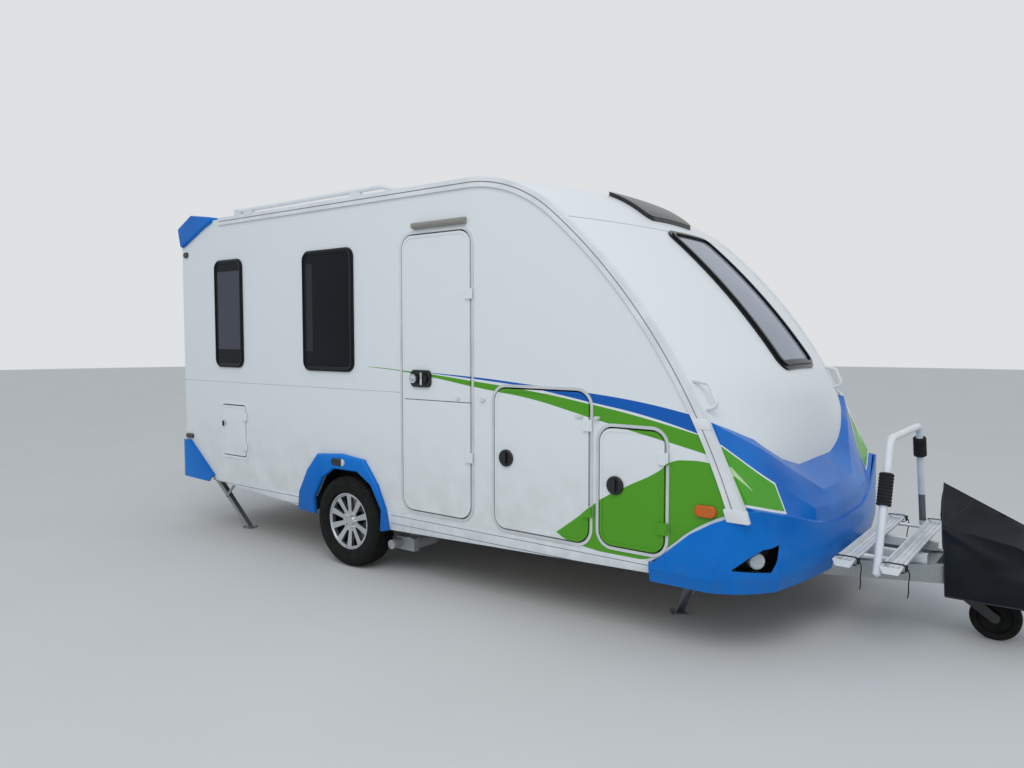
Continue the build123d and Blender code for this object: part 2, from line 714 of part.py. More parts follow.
def skylight():
    """Low roof light over the front window."""
    plan = rounded(at(ROOF_LENGTH + 420), at(ROOF_LENGTH + 735), -310, 310, 60)
    prism = extrude(Plane.XY.offset(ROOF_Z / 2) * plan, amount=ROOF_Z)
    return (front_skin(310.0, -24.0, 4.0) & prism) - FRONT_PANEL


def roof_dome():
    """Tilting roof light: a flat frame with a tapered dome on it."""
    base_z = ROOF_Z + CROWN + 2
    middle = Pos(at(ROOF_LENGTH - 1760), 0, base_z)
    frame = extrude(middle * RectangleRounded(520, 520, 60), amount=18)
    dome = extrude(middle * Pos(0, 0, 18) * RectangleRounded(450, 450, 70), amount=50, taper=24)
    foot = extrude(Pos(at(ROOF_LENGTH - 1760), 0, base_z - 30) * RectangleRounded(440, 440, 50), amount=30)
    return frame + dome + (foot - ROOF_PANEL)


def vent(low):
    """Left wall vent with sloping slots."""
    start = at(ROOF_LENGTH - 340)
    wide = 400.0
    plate = side_slab(rounded(start, start + wide, low, low + 220, 14), WALL_HALF, WALL_HALF + 16)
    for step in range(7):
        z = low + 26 + 26 * step
        slot = Pos(start + wide / 2, WALL_HALF + 16, z) * Rot(35, 0, 0) * Box(wide - 50, 22, 9)
        plate -= slot
    return plate


def window_nodes():
    """Window frames, panes, roof lights and vents."""
    frames = [window_frame(row) for row in WINDOWS_RIGHT]
    frames += [other_side(window_frame(row)) for row in WINDOWS_LEFT]
    frames.append(stepped_frame(rear_window, lambda face, proud: front_slab(face, REAR - proud, REAR)))
    save("window_frames", *frames)

    panes = [window_pane(row) for row in WINDOWS_RIGHT]
    panes += [other_side(window_pane(row)) for row in WINDOWS_LEFT]
    pane_x = REAR - FRAME_STEP + PANE_SUNK
    panes.append(front_slab(rear_window(-WINDOW_FRAME), pane_x, pane_x + PANE))
    opening = through_front(-FRONT_FRAME)
    sunk = PANE_SUNK - FRAME_STEP
    panes.append(front_skin(FRONT_WINDOW_HALF, sunk, sunk + PANE) & opening)
    save("window_panes", *panes)

    seat = front_skin(FRONT_WINDOW_HALF + WALL, -FRAME_STEP, 4.0) & (through_front(0.0) - opening)
    ring = through_front(-FRONT_BEAD) - through_front(-2 * FRONT_BEAD)
    bead = front_skin(FRONT_WINDOW_HALF + WALL, -FRAME_BEAD, 4.0) & ring
    save("front_window_frame", seat + bead - FRONT_PANEL)
    save("roof_lights", roof_dome(), skylight())
    save("fridge_vents", vent(FLOOR_Z + 270), vent(FLOOR_Z + 1070))


# Door, hatches and their fittings

def leaf(opening):
    """Right door or hatch leaf with its raised rim and hinge knuckles."""
    d1 = at(opening[1])
    low = opening[2]
    high = opening[3]
    face = -WALL_HALF - LEAF_PROUD
    panel = side_slab(rounded_at(opening, -LEAF_GAP), face, -INNER_HALF)
    rim = rounded_at(opening, -LEAF_GAP) - rounded_at(opening, -LEAF_GAP - LEAF_RIM)
    panel += side_slab(rim, face - LEAF_RIM_PROUD, face)
    axis_x = d1 + HINGE_ASIDE
    axis_y = -WALL_HALF - HINGE_OUT
    for share in (0.22, 0.78):
        z = low + (high - low) * share - HINGE_LONG / 2
        panel += rod((axis_x, axis_y, z), (axis_x, axis_y, z + HINGE_LONG), HINGE_R)
        panel += box(d1 - LEAF_GAP - STRAP_LONG, axis_x, axis_y - HINGE_R / 2, face, z, z + HINGE_LONG)
    return panel


def opening_frame(opening):
    """Slim frame on the wall round an opening."""
    ring = rounded_at(opening, FRAME_WIDTH) - rounded_at(opening)
    return side_slab(ring, -WALL_HALF - FRAME_PROUD, -WALL_HALF)


def knob(distance, z):
    """Round turn-lock on a hatch: a dished disc with a grip bar across it."""
    face = -WALL_HALF - LEAF_PROUD
    disc = cross_rod(at(distance), z, face - KNOB_PROUD, face, KNOB_R)
    disc = chamfer(disc.faces().sort_by(Axis.Y)[0].edges(), 4)
    grip = rounded(at(distance) - 11, at(distance) + 11, z - 36, z + 36, 10)
    return disc + side_slab(grip, face - 2 * KNOB_PROUD, face - KNOB_PROUD)


def door_lock():
    """Door lock: rounded plate with a key barrel and a pull in a pocket."""
    face = -WALL_HALF - LEAF_PROUD
    x0 = at(DOOR[0] + 88)
    z0 = FLOOR_Z + 811
    plate = side_slab(rounded(x0, x0 + 165, z0, z0 + 105, 30), face - 14, face)
    pocket = side_slab(rounded(x0 + 80, x0 + 152, z0 + 15, z0 + 90, 16), face - 14, face - 5)
    barrel = cross_rod(x0 + 42, z0 + 52, face - 26, face - 14, 30)
    pull = side_slab(rounded(x0 + 92, x0 + 140, z0 + 36, z0 + 69, 8), face - 22, face - 5)
    return plate - pocket + barrel + pull


def leaf_nodes():
    """Door, hatches, their knobs and frames."""
    knob_z = FLOOR_Z + 435
    save("door_leaf", leaf(DOOR))
    save("door_lock", door_lock())
    save("garage_hatch_right", leaf(GARAGE))
    save("garage_knob_right", knob(GARAGE[0] + 91, knob_z))
    save("gas_hatch", leaf(GAS))
    save("gas_knob", knob(GAS[0] + 100, knob_z - 75))
    save("service_hatch", leaf(SERVICE))
    left_knob = knob(GARAGE[0] + 91, knob_z)
    save("garage_hatch_left", other_side(leaf(GARAGE) + left_knob))
    rings = [opening_frame(row) for row in (DOOR, GARAGE, GAS, SERVICE)]
    save("opening_frames", *rings, other_side(opening_frame(GARAGE)))


# Roof rails, handles and lamps

def roof_rail():
    """Left roof rail, from the rear cap to its own bend down, on two streamlined feet."""
    y = INNER_HALF - 142
    z = ROOF_Z + 88
    points = [(at(RAIL_START - 40), y, z - 6),
              (at(ROOF_LENGTH - 900), y, z),
              (at(ROOF_LENGTH - 640), y, z - 60),
              (at(ROOF_LENGTH - 600), y, ROOF_Z + 6)]
    rail = bent_rod(points, 16, 60)
    for d in (RAIL_START + 131, ROOF_LENGTH - 1151):
        foot = polygon([(at(d) - 95, ROOF_Z), (at(d) - 40, z - 4), (at(d) + 40, z - 4), (at(d) + 95, ROOF_Z)])
        rail += side_slab(foot, y - 13, y + 13)
    rear_foot = polygon([(at(RAIL_START - 40), ROOF_Z), (at(RAIL_START - 40), z + 10),
                         (at(RAIL_START + 20), z + 10), (at(RAIL_START + 60), ROOF_Z)])
    rail += side_slab(rear_foot, y - 18, y + 18)
    return rail - ROOF_PANEL - other_side(corner_cap())


def front_handle():
    """Left grab handle on the front panel, beside the awning rail."""
    y = WALL_HALF - 69
    points = [(at(FOOT_D - 312), y, FOOT_Z + 634), (at(FOOT_D - 186), y, FOOT_Z + 612),
              (at(FOOT_D - 140), y, FOOT_Z + 505), (at(FOOT_D - 222), y, FOOT_Z + 478)]
    return (bent_rod(points, 11, 26) - FRONT_PANEL).solids().sort_by(SortBy.VOLUME)[-1]


def rear_handle():
    """Left grab handle on the rear wall."""
    y = WALL_HALF - 130
    low = FLOOR_Z + 720
    points = [(REAR, y, low), (REAR - 58, y, low), (REAR - 58, y, low + 240), (REAR, y, low + 240)]
    return bent_rod(points, 11, 26)


def rounded_lamp(start, end, low, high, base, proud):
    """Right side lamp with half-round ends, on a face so far out from the wall."""
    radius = (high - low) / 2 - 0.5
    face = rounded(at(start), at(end), low, high, radius)
    lamp = side_slab(face, -WALL_HALF - base - proud, -WALL_HALF - base)
    return chamfer(lamp.faces().sort_by(Axis.Y)[0].edges(), proud / 3)


def lamp_nodes():
    """Roof rails, handles and lamps round the body."""
    save("roof_rails", both(roof_rail()))
    save("grab_handles", both(front_handle()), both(rear_handle()))
    arch_top = AXLE_D - 64
    markers = [rounded_lamp(FOOT_D - 219, FOOT_D - 108, FOOT_Z - 22, FOOT_Z + 37, 0, 18),
               rounded_lamp(arch_top - 66, arch_top + 66, TYRE_R + 375, TYRE_R + 423, ARCH_PROUD, 10),
               rounded_lamp(6, 110, FLOOR_Z + 292, FLOOR_Z + 330, 0, 14),
               rounded_lamp(30, 90, ROOF_Z - 268, ROOF_Z - 222, 0, 14)]
    save("marker_lamps", *[both(shape) for shape in markers])
    save("front_lamps", both(front_lamp()))
    out = -WALL_HALF
    profile = [(out, ROOF_Z - 210),
               (out - 34, ROOF_Z - 216),
               (out - 40, ROOF_Z - 232),
               (out - 30, ROOF_Z - 250),
               (out, ROOF_Z - 255)]
    save("awning_lamp", front_slab(polygon(profile), at(DOOR[0] + 108), at(DOOR[1] - 34)))


# Chassis and coupling

def drawbar_members(clearance):
    """The two converging members, grown all round by a clearance."""
    half = DRAW_WIDE / 2 + clearance
    plan = polygon([(at(DRAW_START), RAIL_HALF + half), (at(DRAW_START), RAIL_HALF - half),
                    (at(DRAW_END), DRAW_END_HALF - half), (at(DRAW_END), DRAW_END_HALF + half)])
    member = extrude(Plane.XY.offset(DRAW_Z - clearance) * plan, amount=DRAW_HIGH + 2 * clearance)
    return [member, other_side(member)]


def chassis_rail():
    """Left chassis rail: a channel, open outwards, with lightening holes."""
    inner = RAIL_HALF - RAIL_WIDE / 2
    start = at(AXLE_D - 1097)
    end = at(DRAW_START)
    rail = box(start, end, inner, inner + RAIL_WIDE, CHASSIS_Z, FLOOR_Z)
    rail -= box(start, end, inner + RAIL_WALL, inner + RAIL_WIDE, CHASSIS_Z + RAIL_WALL, FLOOR_Z - RAIL_WALL)
    middle_z = (CHASSIS_Z + FLOOR_Z) / 2
    for step in (-3, -2, -1, 2, 3, 4, 5, 6):
        x = at(AXLE_D + 320 * step)
        rail -= cross_rod(x, middle_z, inner - RAIL_WALL, inner + 2 * RAIL_WALL, 36)
    return rail


def trailing_arm():
    """Left suspension arm with the wheel's stub and brake drum."""
    face = Pos(at(AXLE_D + AXLE_AHEAD), AXLE_Z) * Circle(50) + Pos(at(AXLE_D), TYRE_R) * Circle(38)
    inner = WALL_HALF - 274
    arm = side_slab(make_hull(face.edges()), inner, inner + 40)
    drum = turned(at(AXLE_D), TYRE_R, [(0, inner + 40), (60, inner + 40),
                                       (DRUM_R, inner + 48), (DRUM_R, inner + 112),
                                       (DRUM_R - 20, inner + 120), (34, inner + 124), (34, inner + 150),
                                       (16, inner + 150), (16, inner + 182), (0, inner + 182)])
    return arm + drum


def ball_head():
    """Coupling: casting on the drawbar, ribbed bellows, head with its ball socket and handle."""
    shaft_z = DRAW_TOP + 35
    half = 45.0
    casting = box(at(DRAW_END - 50), at(DRAW_END + 70), -half, half, DRAW_TOP, shaft_z + 32)
    casting = fillet(casting.edges().filter_by(Axis.X).sort_by(Axis.Z)[-2:], 20)
    casting += box(at(DRAW_END - 50), at(DRAW_END), -100, 100, DRAW_TOP, DRAW_TOP + 8)

    rings = [(60, 0)]
    for step in range(5):
        rings += [(62 + 12 * step, 38), (68 + 12 * step, 29)]
    rings += [(126, SHAFT_R), (150, SHAFT_R), (150, 0)]
    profile = polygon([(at(DRAW_END + along), shaft_z + radius) for along, radius in rings])
    bellows = revolve(side_plane(0) * profile, axis=Axis((at(DRAW_END), 0, shaft_z), (1, 0, 0)))

    ball_z = DRAW_TOP + 20
    neck = []
    for back, wide, high, rise in ((105, 60, 56, 15), (60, 84, 76, 6), (14, 90, 76, 2)):
        place = Plane.YZ.offset(at(COUPLING_D - back)) * Pos(0, ball_z + rise)
        neck.append(place * RectangleRounded(wide, high, 16))
    head = loft(neck, ruled=True) + Pos(at(COUPLING_D), 0, ball_z) * Sphere(HEAD_R)
    head -= Pos(at(COUPLING_D), 0, ball_z) * Sphere(BALL_R)
    head -= rod((at(COUPLING_D), 0, ball_z - 2 * HEAD_R), (at(COUPLING_D), 0, ball_z), BALL_R)
    handle = bent_rod([(at(COUPLING_D - 30), 0, ball_z + 30), (at(COUPLING_D - 36), 0, ball_z + 66),
                       (at(COUPLING_D - 168), 0, ball_z + 96)], 9, 20)
    grip = rod((at(COUPLING_D - 168), 0, ball_z + 96), (at(COUPLING_D - 96), 0, ball_z + 80), 14)
    return casting + bellows + head + handle + grip


def mover_unit():
    """Left motor mover: motor, gearbox and roller on a bracket from the chassis rail."""
    x = at(AXLE_D + 373)
    z = TYRE_R - 107.5
    outer = WALL_HALF - 114
    motor = rod((x + 82, outer - 240, z), (x + 82, outer, z), 46)
    motor += box(x - 30, x + 128, outer - 44, outer, z - 44, z + 40)
    roller = cross_rod(x, z, outer - 50, outer + 80, 30)
    for step in range(6):
        y = outer + 8 + 12 * step
        roller -= cross_rod(x, z, y, y + 4, 31) - cross_rod(x, z, y, y + 4, 26)
    arm = polygon([(x + 40, z + 20), (x + 120, z + 20), (x + 80, CHASSIS_Z + 20), (x + 10, CHASSIS_Z + 20)])
    bracket = side_slab(arm, outer - 70, outer - 58)
    hanger = box(x + 10, x + 80, RAIL_HALF + RAIL_WIDE / 2, outer - 58, CHASSIS_Z, CHASSIS_Z + 20)
    return motor + roller + bracket + hanger


def chassis_nodes():
    """Chassis rails, drawbar, axle, coupling and movers."""
    tube = cross_rod(at(AXLE_D + AXLE_AHEAD), AXLE_Z, 274 - WALL_HALF, WALL_HALF - 274, AXLE_R)
    save("chassis_rails", both(chassis_rail() - tube))
    members = drawbar_members(0.0)
    tie_x = at(APRON_NOSE + 360)
    tie = box(tie_x, tie_x + 60, -170, 170, DRAW_Z + 10, DRAW_TOP - 10)
    save("drawbar", members[0] + members[1] + tie)
    save("axle", tube + trailing_arm() + other_side(trailing_arm()))
    save("coupling_head", ball_head())
    save("mover_units", both(mover_unit()))


# Wheels

def tyre():
    """Left tyre, with bulging side walls."""
    inside = WHEEL_OUT - TYRE_WIDTH
    middle = (RIM_R + TYRE_R) / 2 + 6
    tread = TYRE_R - 12
    outline = [
        Line((RIM_R, inside + 24), (RIM_R, WHEEL_OUT - 24)),
        ThreePointArc((RIM_R, WHEEL_OUT - 24), (middle, WHEEL_OUT), (tread, WHEEL_OUT - 14)),
        Line((tread, WHEEL_OUT - 14), (TYRE_R, WHEEL_OUT - 32)),
        Line((TYRE_R, WHEEL_OUT - 32), (TYRE_R, inside + 32)),
        Line((TYRE_R, inside + 32), (tread, inside + 14)),
        ThreePointArc((tread, inside + 14), (middle, inside), (RIM_R, inside + 24)),
    ]
    plane = Plane(origin=(at(AXLE_D), 0, TYRE_R), x_dir=(1, 0, 0), z_dir=(0, 0, 1))
    return revolve(plane * make_face(outline), axis=Axis((at(AXLE_D), 0, TYRE_R), (0, 1, 0)))


def rim():
    """Left alloy wheel: turned barrel, dished spokes and a hub with a centre cap."""
    face = WHEEL_OUT - 22
    inside = WHEEL_OUT - TYRE_WIDTH + 24
    x = at(AXLE_D)
    lip = RIM_R - RIM_WALL
    barrel = turned(x, TYRE_R, [(RIM_R, inside), (RIM_R, face), (lip, face), (lip - 6, face - 12),
                                (lip, face - 30), (lip, inside)])
    dish = turned(x, TYRE_R, [(0, face - 22), (HUB_R, face - 20), (lip - 5, face - 8), (lip + 3, face - 30),
                              (HUB_R, face - 46), (HUB_R, face - 90), (17, face - 90), (17, face - 50),
                              (0, face - 50)])
    inner_r = HUB_R + 12
    outer_r = lip - 12
    gap_in = 0.34 * inner_r * math.pi / SPOKES * 2
    gap_out = 0.62 * outer_r * math.pi / SPOKES * 2
    window = softened(polygon([(inner_r, -gap_in / 2), (outer_r, -gap_out / 2), (outer_r, gap_out / 2),
                               (inner_r, gap_in / 2)]), 5)
    wheel_plane = Plane(origin=(x, face + 10, TYRE_R), x_dir=(1, 0, 0), z_dir=(0, -1, 0))
    for place in PolarLocations(0, SPOKES):
        dish -= extrude(wheel_plane * place * window, amount=70)
    cap = cross_rod(x, TYRE_R, face - 24, face - 12, 32)
    wheel = barrel + dish + cap
    for place in PolarLocations(44, 5):
        wheel += extrude(wheel_plane.offset(20) * place * Circle(9), amount=14)
    return wheel


def wheel_nodes():
    """Tyres and rims."""
    save("tyre_left", tyre())
    save("rim_left", rim())
    save("tyre_right", other_side(tyre()))
    save("rim_right", other_side(rim()))


# Bicycle rack

def rack_rail(x):
    """Ribbed aluminium channel across the drawbar, with end caps."""
    half = RACK_RAIL_WIDE / 2
    top = RACK_Z + RACK_RAIL_DEEP
    section = [(-half, top), (-half, top - 6), (-half + 14, RACK_Z), (half - 14, RACK_Z), (half, top - 6),
               (half, top), (half - 8, top), (half - 20, RACK_Z + 8),
               (-half + 20, RACK_Z + 8), (-half + 8, top)]
    rail = side_slab(polygon([(x + u, z) for u, z in section]), -RACK_RAIL_HALF, RACK_RAIL_HALF)
    for u in (-12, 12):
        rail += box(x + u - 2, x + u + 2, -RACK_RAIL_HALF, RACK_RAIL_HALF, RACK_Z + 8, RACK_Z + 12)
    end = polygon([(x - half, top), (x - half + 14, RACK_Z), (x + half - 14, RACK_Z), (x + half, top)])
    cap = side_slab(end, RACK_RAIL_HALF, RACK_RAIL_HALF + 8)
    return rail + cap + other_side(cap)


def hoop_points():
    """Corner points of the rack's hoop, foot to foot."""
    x = at(HOOP_D)
    low = DRAW_TOP + 16
    high = low + HOOP_HIGH
    return [(x, -HOOP_FOOT_HALF, low), (x, -HOOP_TOP_HALF, high), (x, HOOP_TOP_HALF, high),
            (x, HOOP_FOOT_HALF, low)]


def hoop_pad(side, low, high):
    """Foam sleeve on one leg of the hoop between two shares of its height."""
    foot, top = [Vector(*point) for point in hoop_points()[:2]]
    start = foot + (top - foot) * low
    end = foot + (top - foot) * high
    pad = rod(tuple(start), tuple(end), 34) - rod(tuple(foot), tuple(top), HOOP_R)
    return pad if side < 0 else other_side(pad)


def rack_nodes():
    """Bicycle rack: two channels on bearers, a hoop and its foam sleeves."""
    rails = [at(HOOP_D + spread) for spread in RACK_SPREAD]
    start = rails[0] - 77
    end = rails[1] + 77
    bearers = [box(start, end, y - 20, y + 20, DRAW_TOP, RACK_Z) for y in (-150, 150)]
    inner = RACK_RAIL_WIDE / 2 - 8
    bearers += [rod((rails[0] + inner, y, RACK_Z + 14), (rails[1] - inner, y, RACK_Z + 14), 10)
                for y in (-420, 420)]
    frame = bearers[0] + bearers[1]
    for piece in [rack_rail(x) for x in rails] + bearers[2:]:
        frame += piece
    foot = hoop_points()[0]
    hoop = bent_rod(hoop_points(), HOOP_R, HOOP_BEND)
    hoop += cross_rod(foot[0], foot[2] + 4, -HOOP_FOOT_HALF, HOOP_FOOT_HALF, 14)
    save("rack_rails", frame - hoop)
    save("rack_hoop", hoop)
    save("rack_pads", hoop_pad(-1, 0.50, 0.74), hoop_pad(1, 0.72, 0.89))


# Jockey wheel, handbrake lever and hitch cover

def jockey_post():
    """Clamped outer tube with its bracket, crank and grip."""
    x = at(JOCKEY_D)
    top = DRAW_TOP + 260
    post = rod((x, 0, DRAW_TOP - 50), (x, 0, top), JOCKEY_POST_R)
    post -= rod((x, 0, DRAW_TOP - 50), (x, 0, top - 20), JOCKEY_POST_R - JOCKEY_WALL)
    post += rod((x, 0, top), (x, 0, top + 22), 12)
    post += bent_rod([(x, 0, top + 14), (x + 76, 0, top + 14), (x + 76, 0, top - 20)], 7, 12)
    post += rod((x + 76, 0, top - 70), (x + 76, 0, top - 12), 11)
    bracket = box(x - 40, x + 40, -135, 135, DRAW_TOP, DRAW_TOP + 12)
    collar = rod((x, 0, DRAW_TOP), (x, 0, DRAW_TOP + 60), JOCKEY_POST_R + 9)
    screw = rod((x, -70, DRAW_TOP + 36), (x, 0, DRAW_TOP + 36), 8) + rod((x - 30, -70, DRAW_TOP + 36),
                                                                        (x + 30, -70, DRAW_TOP + 36), 6)
    bore = rod((x, 0, DRAW_Z), (x, 0, top - 20), JOCKEY_POST_R - JOCKEY_WALL)
    return post + (bracket + collar + screw - bore)


def jockey_fork():
    """Swivelling fork: two hull-shaped cheeks under a turned head."""
    x = at(JOCKEY_D)
    wheel_x = x + JOCKEY_TRAIL
    inner = JOCKEY_WHEEL_WIDE / 2 + FORK_GAP
    top = 2 * JOCKEY_WHEEL_R + 4
    fork = rod((x, 0, top), (x, 0, top + 22), 40)
    cheek = make_hull((Pos(wheel_x, JOCKEY_WHEEL_R) * Circle(24) + Pos(x - 8, top - 22) * Circle(28)).edges())
    head = box(x - 36, x + 20, -inner - FORK_PLATE, inner + FORK_PLATE, top - FORK_PLATE, top + FORK_PLATE)
    for y0 in (-inner - FORK_PLATE, inner):
        fork += side_slab(cheek, y0, y0 + FORK_PLATE)
    above = box(x - 100, x + 60, -inner - 20, inner + 20, top + 6, top + 60)
    return fork + head - above + rod((x, 0, top), (x, 0, top + 22), 40)


def jockey_wheel():
    """Solid jockey wheel with a rounded tread and a dished web."""
    half = JOCKEY_WHEEL_WIDE / 2
    r = JOCKEY_WHEEL_R
    rows = [(0, -half + 4), (26, -half + 4), (30, -half + 16), (r - 40, -half + 16), (r - 34, -half),
            (r - 10, -half), (r, -half + 14), (r, half - 14), (r - 10, half), (r - 34, half),
            (r - 40, half - 16), (30, half - 16), (26, half - 4), (0, half - 4)]
    return turned(at(JOCKEY_D + JOCKEY_TRAIL), r, rows)


def handbrake_lever():
    """Handbrake lever on the drawbar's casting, with its grip."""
    x = at(DRAW_END - 10)
    low = DRAW_TOP + 20
    lever = rod((x, 75, low), (x - 88, 75, low + 190), 8)
    lever += rod((x - 52, 75, low + 112), (x - 88, 75, low + 190), 14)
    return lever + cross_rod(x, low + 2, 45, 84, 9)


def hitch_cover():
    """Soft cover: a ridged tent over the coupling, open below and behind."""
    rear = JOCKEY_D - 120
    ridge = [(rear, DRAW_TOP + 406), (rear + 45, 226), (COVER_NOSE, 240), (COVER_NOSE, DRAW_TOP + 90),
             (rear + 360, DRAW_TOP + 230)]
    eaves = [(rear + 24, DRAW_TOP + 220), (rear + 45, 226), (COVER_NOSE, 240), (COVER_NOSE, DRAW_TOP + 60),
             (rear + 360, DRAW_TOP + 160)]
    moves = [(COVER_WALL, -1.6 * COVER_WALL), (COVER_WALL, -40), (-COVER_WALL, -40),
             (-COVER_WALL, -COVER_WALL), (0.0, -1.4 * COVER_WALL)]

    def tent(half, inwards):
        faces = []
        for y, rows in ((half, eaves), (0.0, ridge), (-half, eaves)):
            points = [(d + mx * inwards, z + mz * inwards) for (d, z), (mx, mz) in zip(rows, moves)]
            faces.append(side_plane(y) * side_polygon(points))
        return loft(faces, ruled=True)

    notch = box(at(rear), at(rear + 90), -COVER_HALF + COVER_WALL, COVER_HALF - COVER_WALL, 0, DRAW_TOP + 90)
    return tent(COVER_HALF, 0) - tent(COVER_HALF - COVER_WALL, 1) - notch


def hitch_nodes():
    """Everything on the front of the drawbar."""
    save("jockey_post", jockey_post())
    x = at(JOCKEY_D)
    save("jockey_tube", rod((x, 0, 2 * JOCKEY_WHEEL_R + 28), (x, 0, DRAW_TOP + 160), JOCKEY_TUBE_R))
    save("jockey_fork", jockey_fork())
    save("jockey_wheel", jockey_wheel())
    save("handbrake_lever", handbrake_lever())
    save("hitch_cover", hitch_cover())


# Corner steadies

def steady(pivot_d, pivot_y, foot_d, foot_y):
    """Leg, strut and base of one steady, drawn in the upright plane through its leg."""
    pivot = Vector(at(pivot_d), pivot_y, STEADY_Z)
    run = Vector(at(foot_d) - pivot.X, foot_y - pivot.Y, 0)
    reach = run.length
    length = math.hypot(reach, STEADY_Z)
    slope = math.atan2(STEADY_Z, reach)
    joint = length * STEADY_SHARE
    half = LEG_WIDE / 2
    deep = LEG_DEEP / 2
    plane = Plane(origin=pivot, x_dir=run, z_dir=Vector(run.Y, -run.X, 0))

    def slab(face, w0, w1):
        return extrude(plane.offset(w0) * face, amount=w1 - w0)

    def along(distance, aside=0.0):
        return (distance * math.cos(slope) + aside * math.sin(slope),
                -distance * math.sin(slope) + aside * math.cos(slope))

    outline = polygon([along(-18, deep), along(length - 12, deep), along(length - 12, 10 - deep),
                       along(-18, -deep)])
    hollow = polygon([along(-30, deep - LEG_WALL), along(length, deep - LEG_WALL), along(length, -LEG_DEEP),
                      along(-30, -LEG_DEEP)])
    leg = slab(outline, -half, half) - slab(hollow, -half + LEG_WALL, half - LEG_WALL)
    leg -= slab(Circle(PIN_R + PIN_PLAY), -half, half)
    ground = -STEADY_Z
    tread = FOOT_PLATE / 2
    plate = polygon([(reach - tread, ground + 14), (reach - tread + 10, ground),
                     (reach + tread - 10, ground), (reach + tread, ground + 14),
                     (reach + tread - 8, ground + 14), (reach + tread - 14, ground + FOOT_THICK),
                     (reach - tread + 14, ground + FOOT_THICK), (reach - tread + 8, ground + 14)])
    leg += slab(plate, -tread, tread)
    web = polygon([along(length - 60, deep), (reach + 22, ground), (reach - 30, ground)])
    leg += slab(web, -half, -half + LEG_WALL)
    side = half + EAR_GAP
    leg += slab(Pos(*along(joint)) * Circle(STRUT_R - 4), half, side + EAR)

    far = 2 * joint * math.cos(slope)
    bar = make_hull((Pos(*along(joint)) * Circle(STRUT_R) + Pos(far, 0) * Circle(STRUT_R)).edges())
    strut = slab(bar, side, side + EAR)
    strut -= slab(Pos(*along(joint)) * Circle(STRUT_R - 4 + PIN_PLAY), side, side + EAR)

    plate_top = STEADY_PIVOT_DOWN
    ear = polygon([(-22, -14), (22, -14), (22, plate_top), (-22, plate_top)])
    base_end = far + 20
    base = slab(polygon([(-40, plate_top - EAR), (base_end, plate_top - EAR), (base_end, plate_top),
                         (-40, plate_top)]), -side - EAR - 2, side + EAR + 5)
    base += slab(ear, -side - EAR, -side) + slab(ear, side, side + EAR)
    base += slab(Circle(PIN_R), -side, side)
    return leg, strut, base


def steady_nodes():
    """Corner steadies."""
    bases = []
    for name, *places in STEADIES:
        leg, strut, base = steady(*places)
        save("steady_leg_" + name, leg)
        save("steady_strut_" + name, strut)
        bases.append(base)
    save("steady_bases", *bases)


FRONT_PANEL = front_skin(INNER_HALF, 0.0, WALL)
ROOF_PANEL = roof_panel()
AWNING_RAIL = awning_rail()
FRONT_WINDOW_PLANE = window_plane()


def main():
    os.makedirs("parts", exist_ok=True)
    body_nodes()
    trim_nodes()
    window_nodes()
    leaf_nodes()
    lamp_nodes()
    chassis_nodes()
    wheel_nodes()
    rack_nodes()
    hitch_nodes()
    steady_nodes()


main()
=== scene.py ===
import bmesh
import bpy
import math
from mathutils import Matrix, Vector
from mathutils.bvhtree import BVHTree


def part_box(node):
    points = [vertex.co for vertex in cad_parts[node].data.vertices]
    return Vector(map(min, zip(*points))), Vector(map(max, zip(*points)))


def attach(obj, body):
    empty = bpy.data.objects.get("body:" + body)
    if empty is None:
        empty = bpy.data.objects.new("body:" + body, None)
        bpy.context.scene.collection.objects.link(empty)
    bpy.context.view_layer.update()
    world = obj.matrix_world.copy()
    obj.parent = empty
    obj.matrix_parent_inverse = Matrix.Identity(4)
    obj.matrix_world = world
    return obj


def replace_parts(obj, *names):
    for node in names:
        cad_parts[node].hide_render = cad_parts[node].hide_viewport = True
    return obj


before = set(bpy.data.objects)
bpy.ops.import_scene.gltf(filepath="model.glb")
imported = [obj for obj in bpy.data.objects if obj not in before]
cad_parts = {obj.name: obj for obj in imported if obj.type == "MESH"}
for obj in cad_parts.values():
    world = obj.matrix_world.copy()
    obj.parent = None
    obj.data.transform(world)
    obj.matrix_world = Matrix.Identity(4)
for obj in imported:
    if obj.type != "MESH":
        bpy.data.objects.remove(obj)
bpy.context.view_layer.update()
scene = bpy.context.scene
scene.view_settings.view_transform = "Standard"


# Body panels. The walls, door and hatches are sandwich board with a skin of
# stove-enamelled aluminium sheet; the roof and front are white glass-reinforced plastic.
# Blue and green vinyl bands are stuck across wall, door and hatches after fitting.

def colour(code, alpha=1.0):
    """An sRGB hex colour as linear RGBA."""
    parts = [int(code[i:i + 2], 16) / 255 for i in (1, 3, 5)]
    linear = [p / 12.92 if p <= 0.04045 else ((p + 0.055) / 1.055) ** 2.4 for p in parts]
    return (*linear, alpha)


def add(tree, kind, inputs=None, **settings):
    """Adds a shader node with its settings, its input values and its links."""
    made = tree.nodes.new("ShaderNode" + kind)
    for name, value in settings.items():
        setattr(made, name, value)
    for slot, value in (inputs or {}).items():
        if isinstance(value, bpy.types.NodeSocket):
            tree.links.new(value, made.inputs[slot])
        else:
            made.inputs[slot].default_value = value
    return made


def new_finish(name, **values):
    """A material with one Principled shader, and the Object coordinates."""
    finish = bpy.data.materials.new(name)
    finish.use_nodes = True
    tree = finish.node_tree
    tree.nodes.clear()
    shader = add(tree, "BsdfPrincipled", {key.replace("_", " "): value for key, value in values.items()})
    add(tree, "OutputMaterial", {"Surface": shader.outputs[0]})
    place = add(tree, "TexCoord").outputs["Object"]
    return finish, tree, shader, place


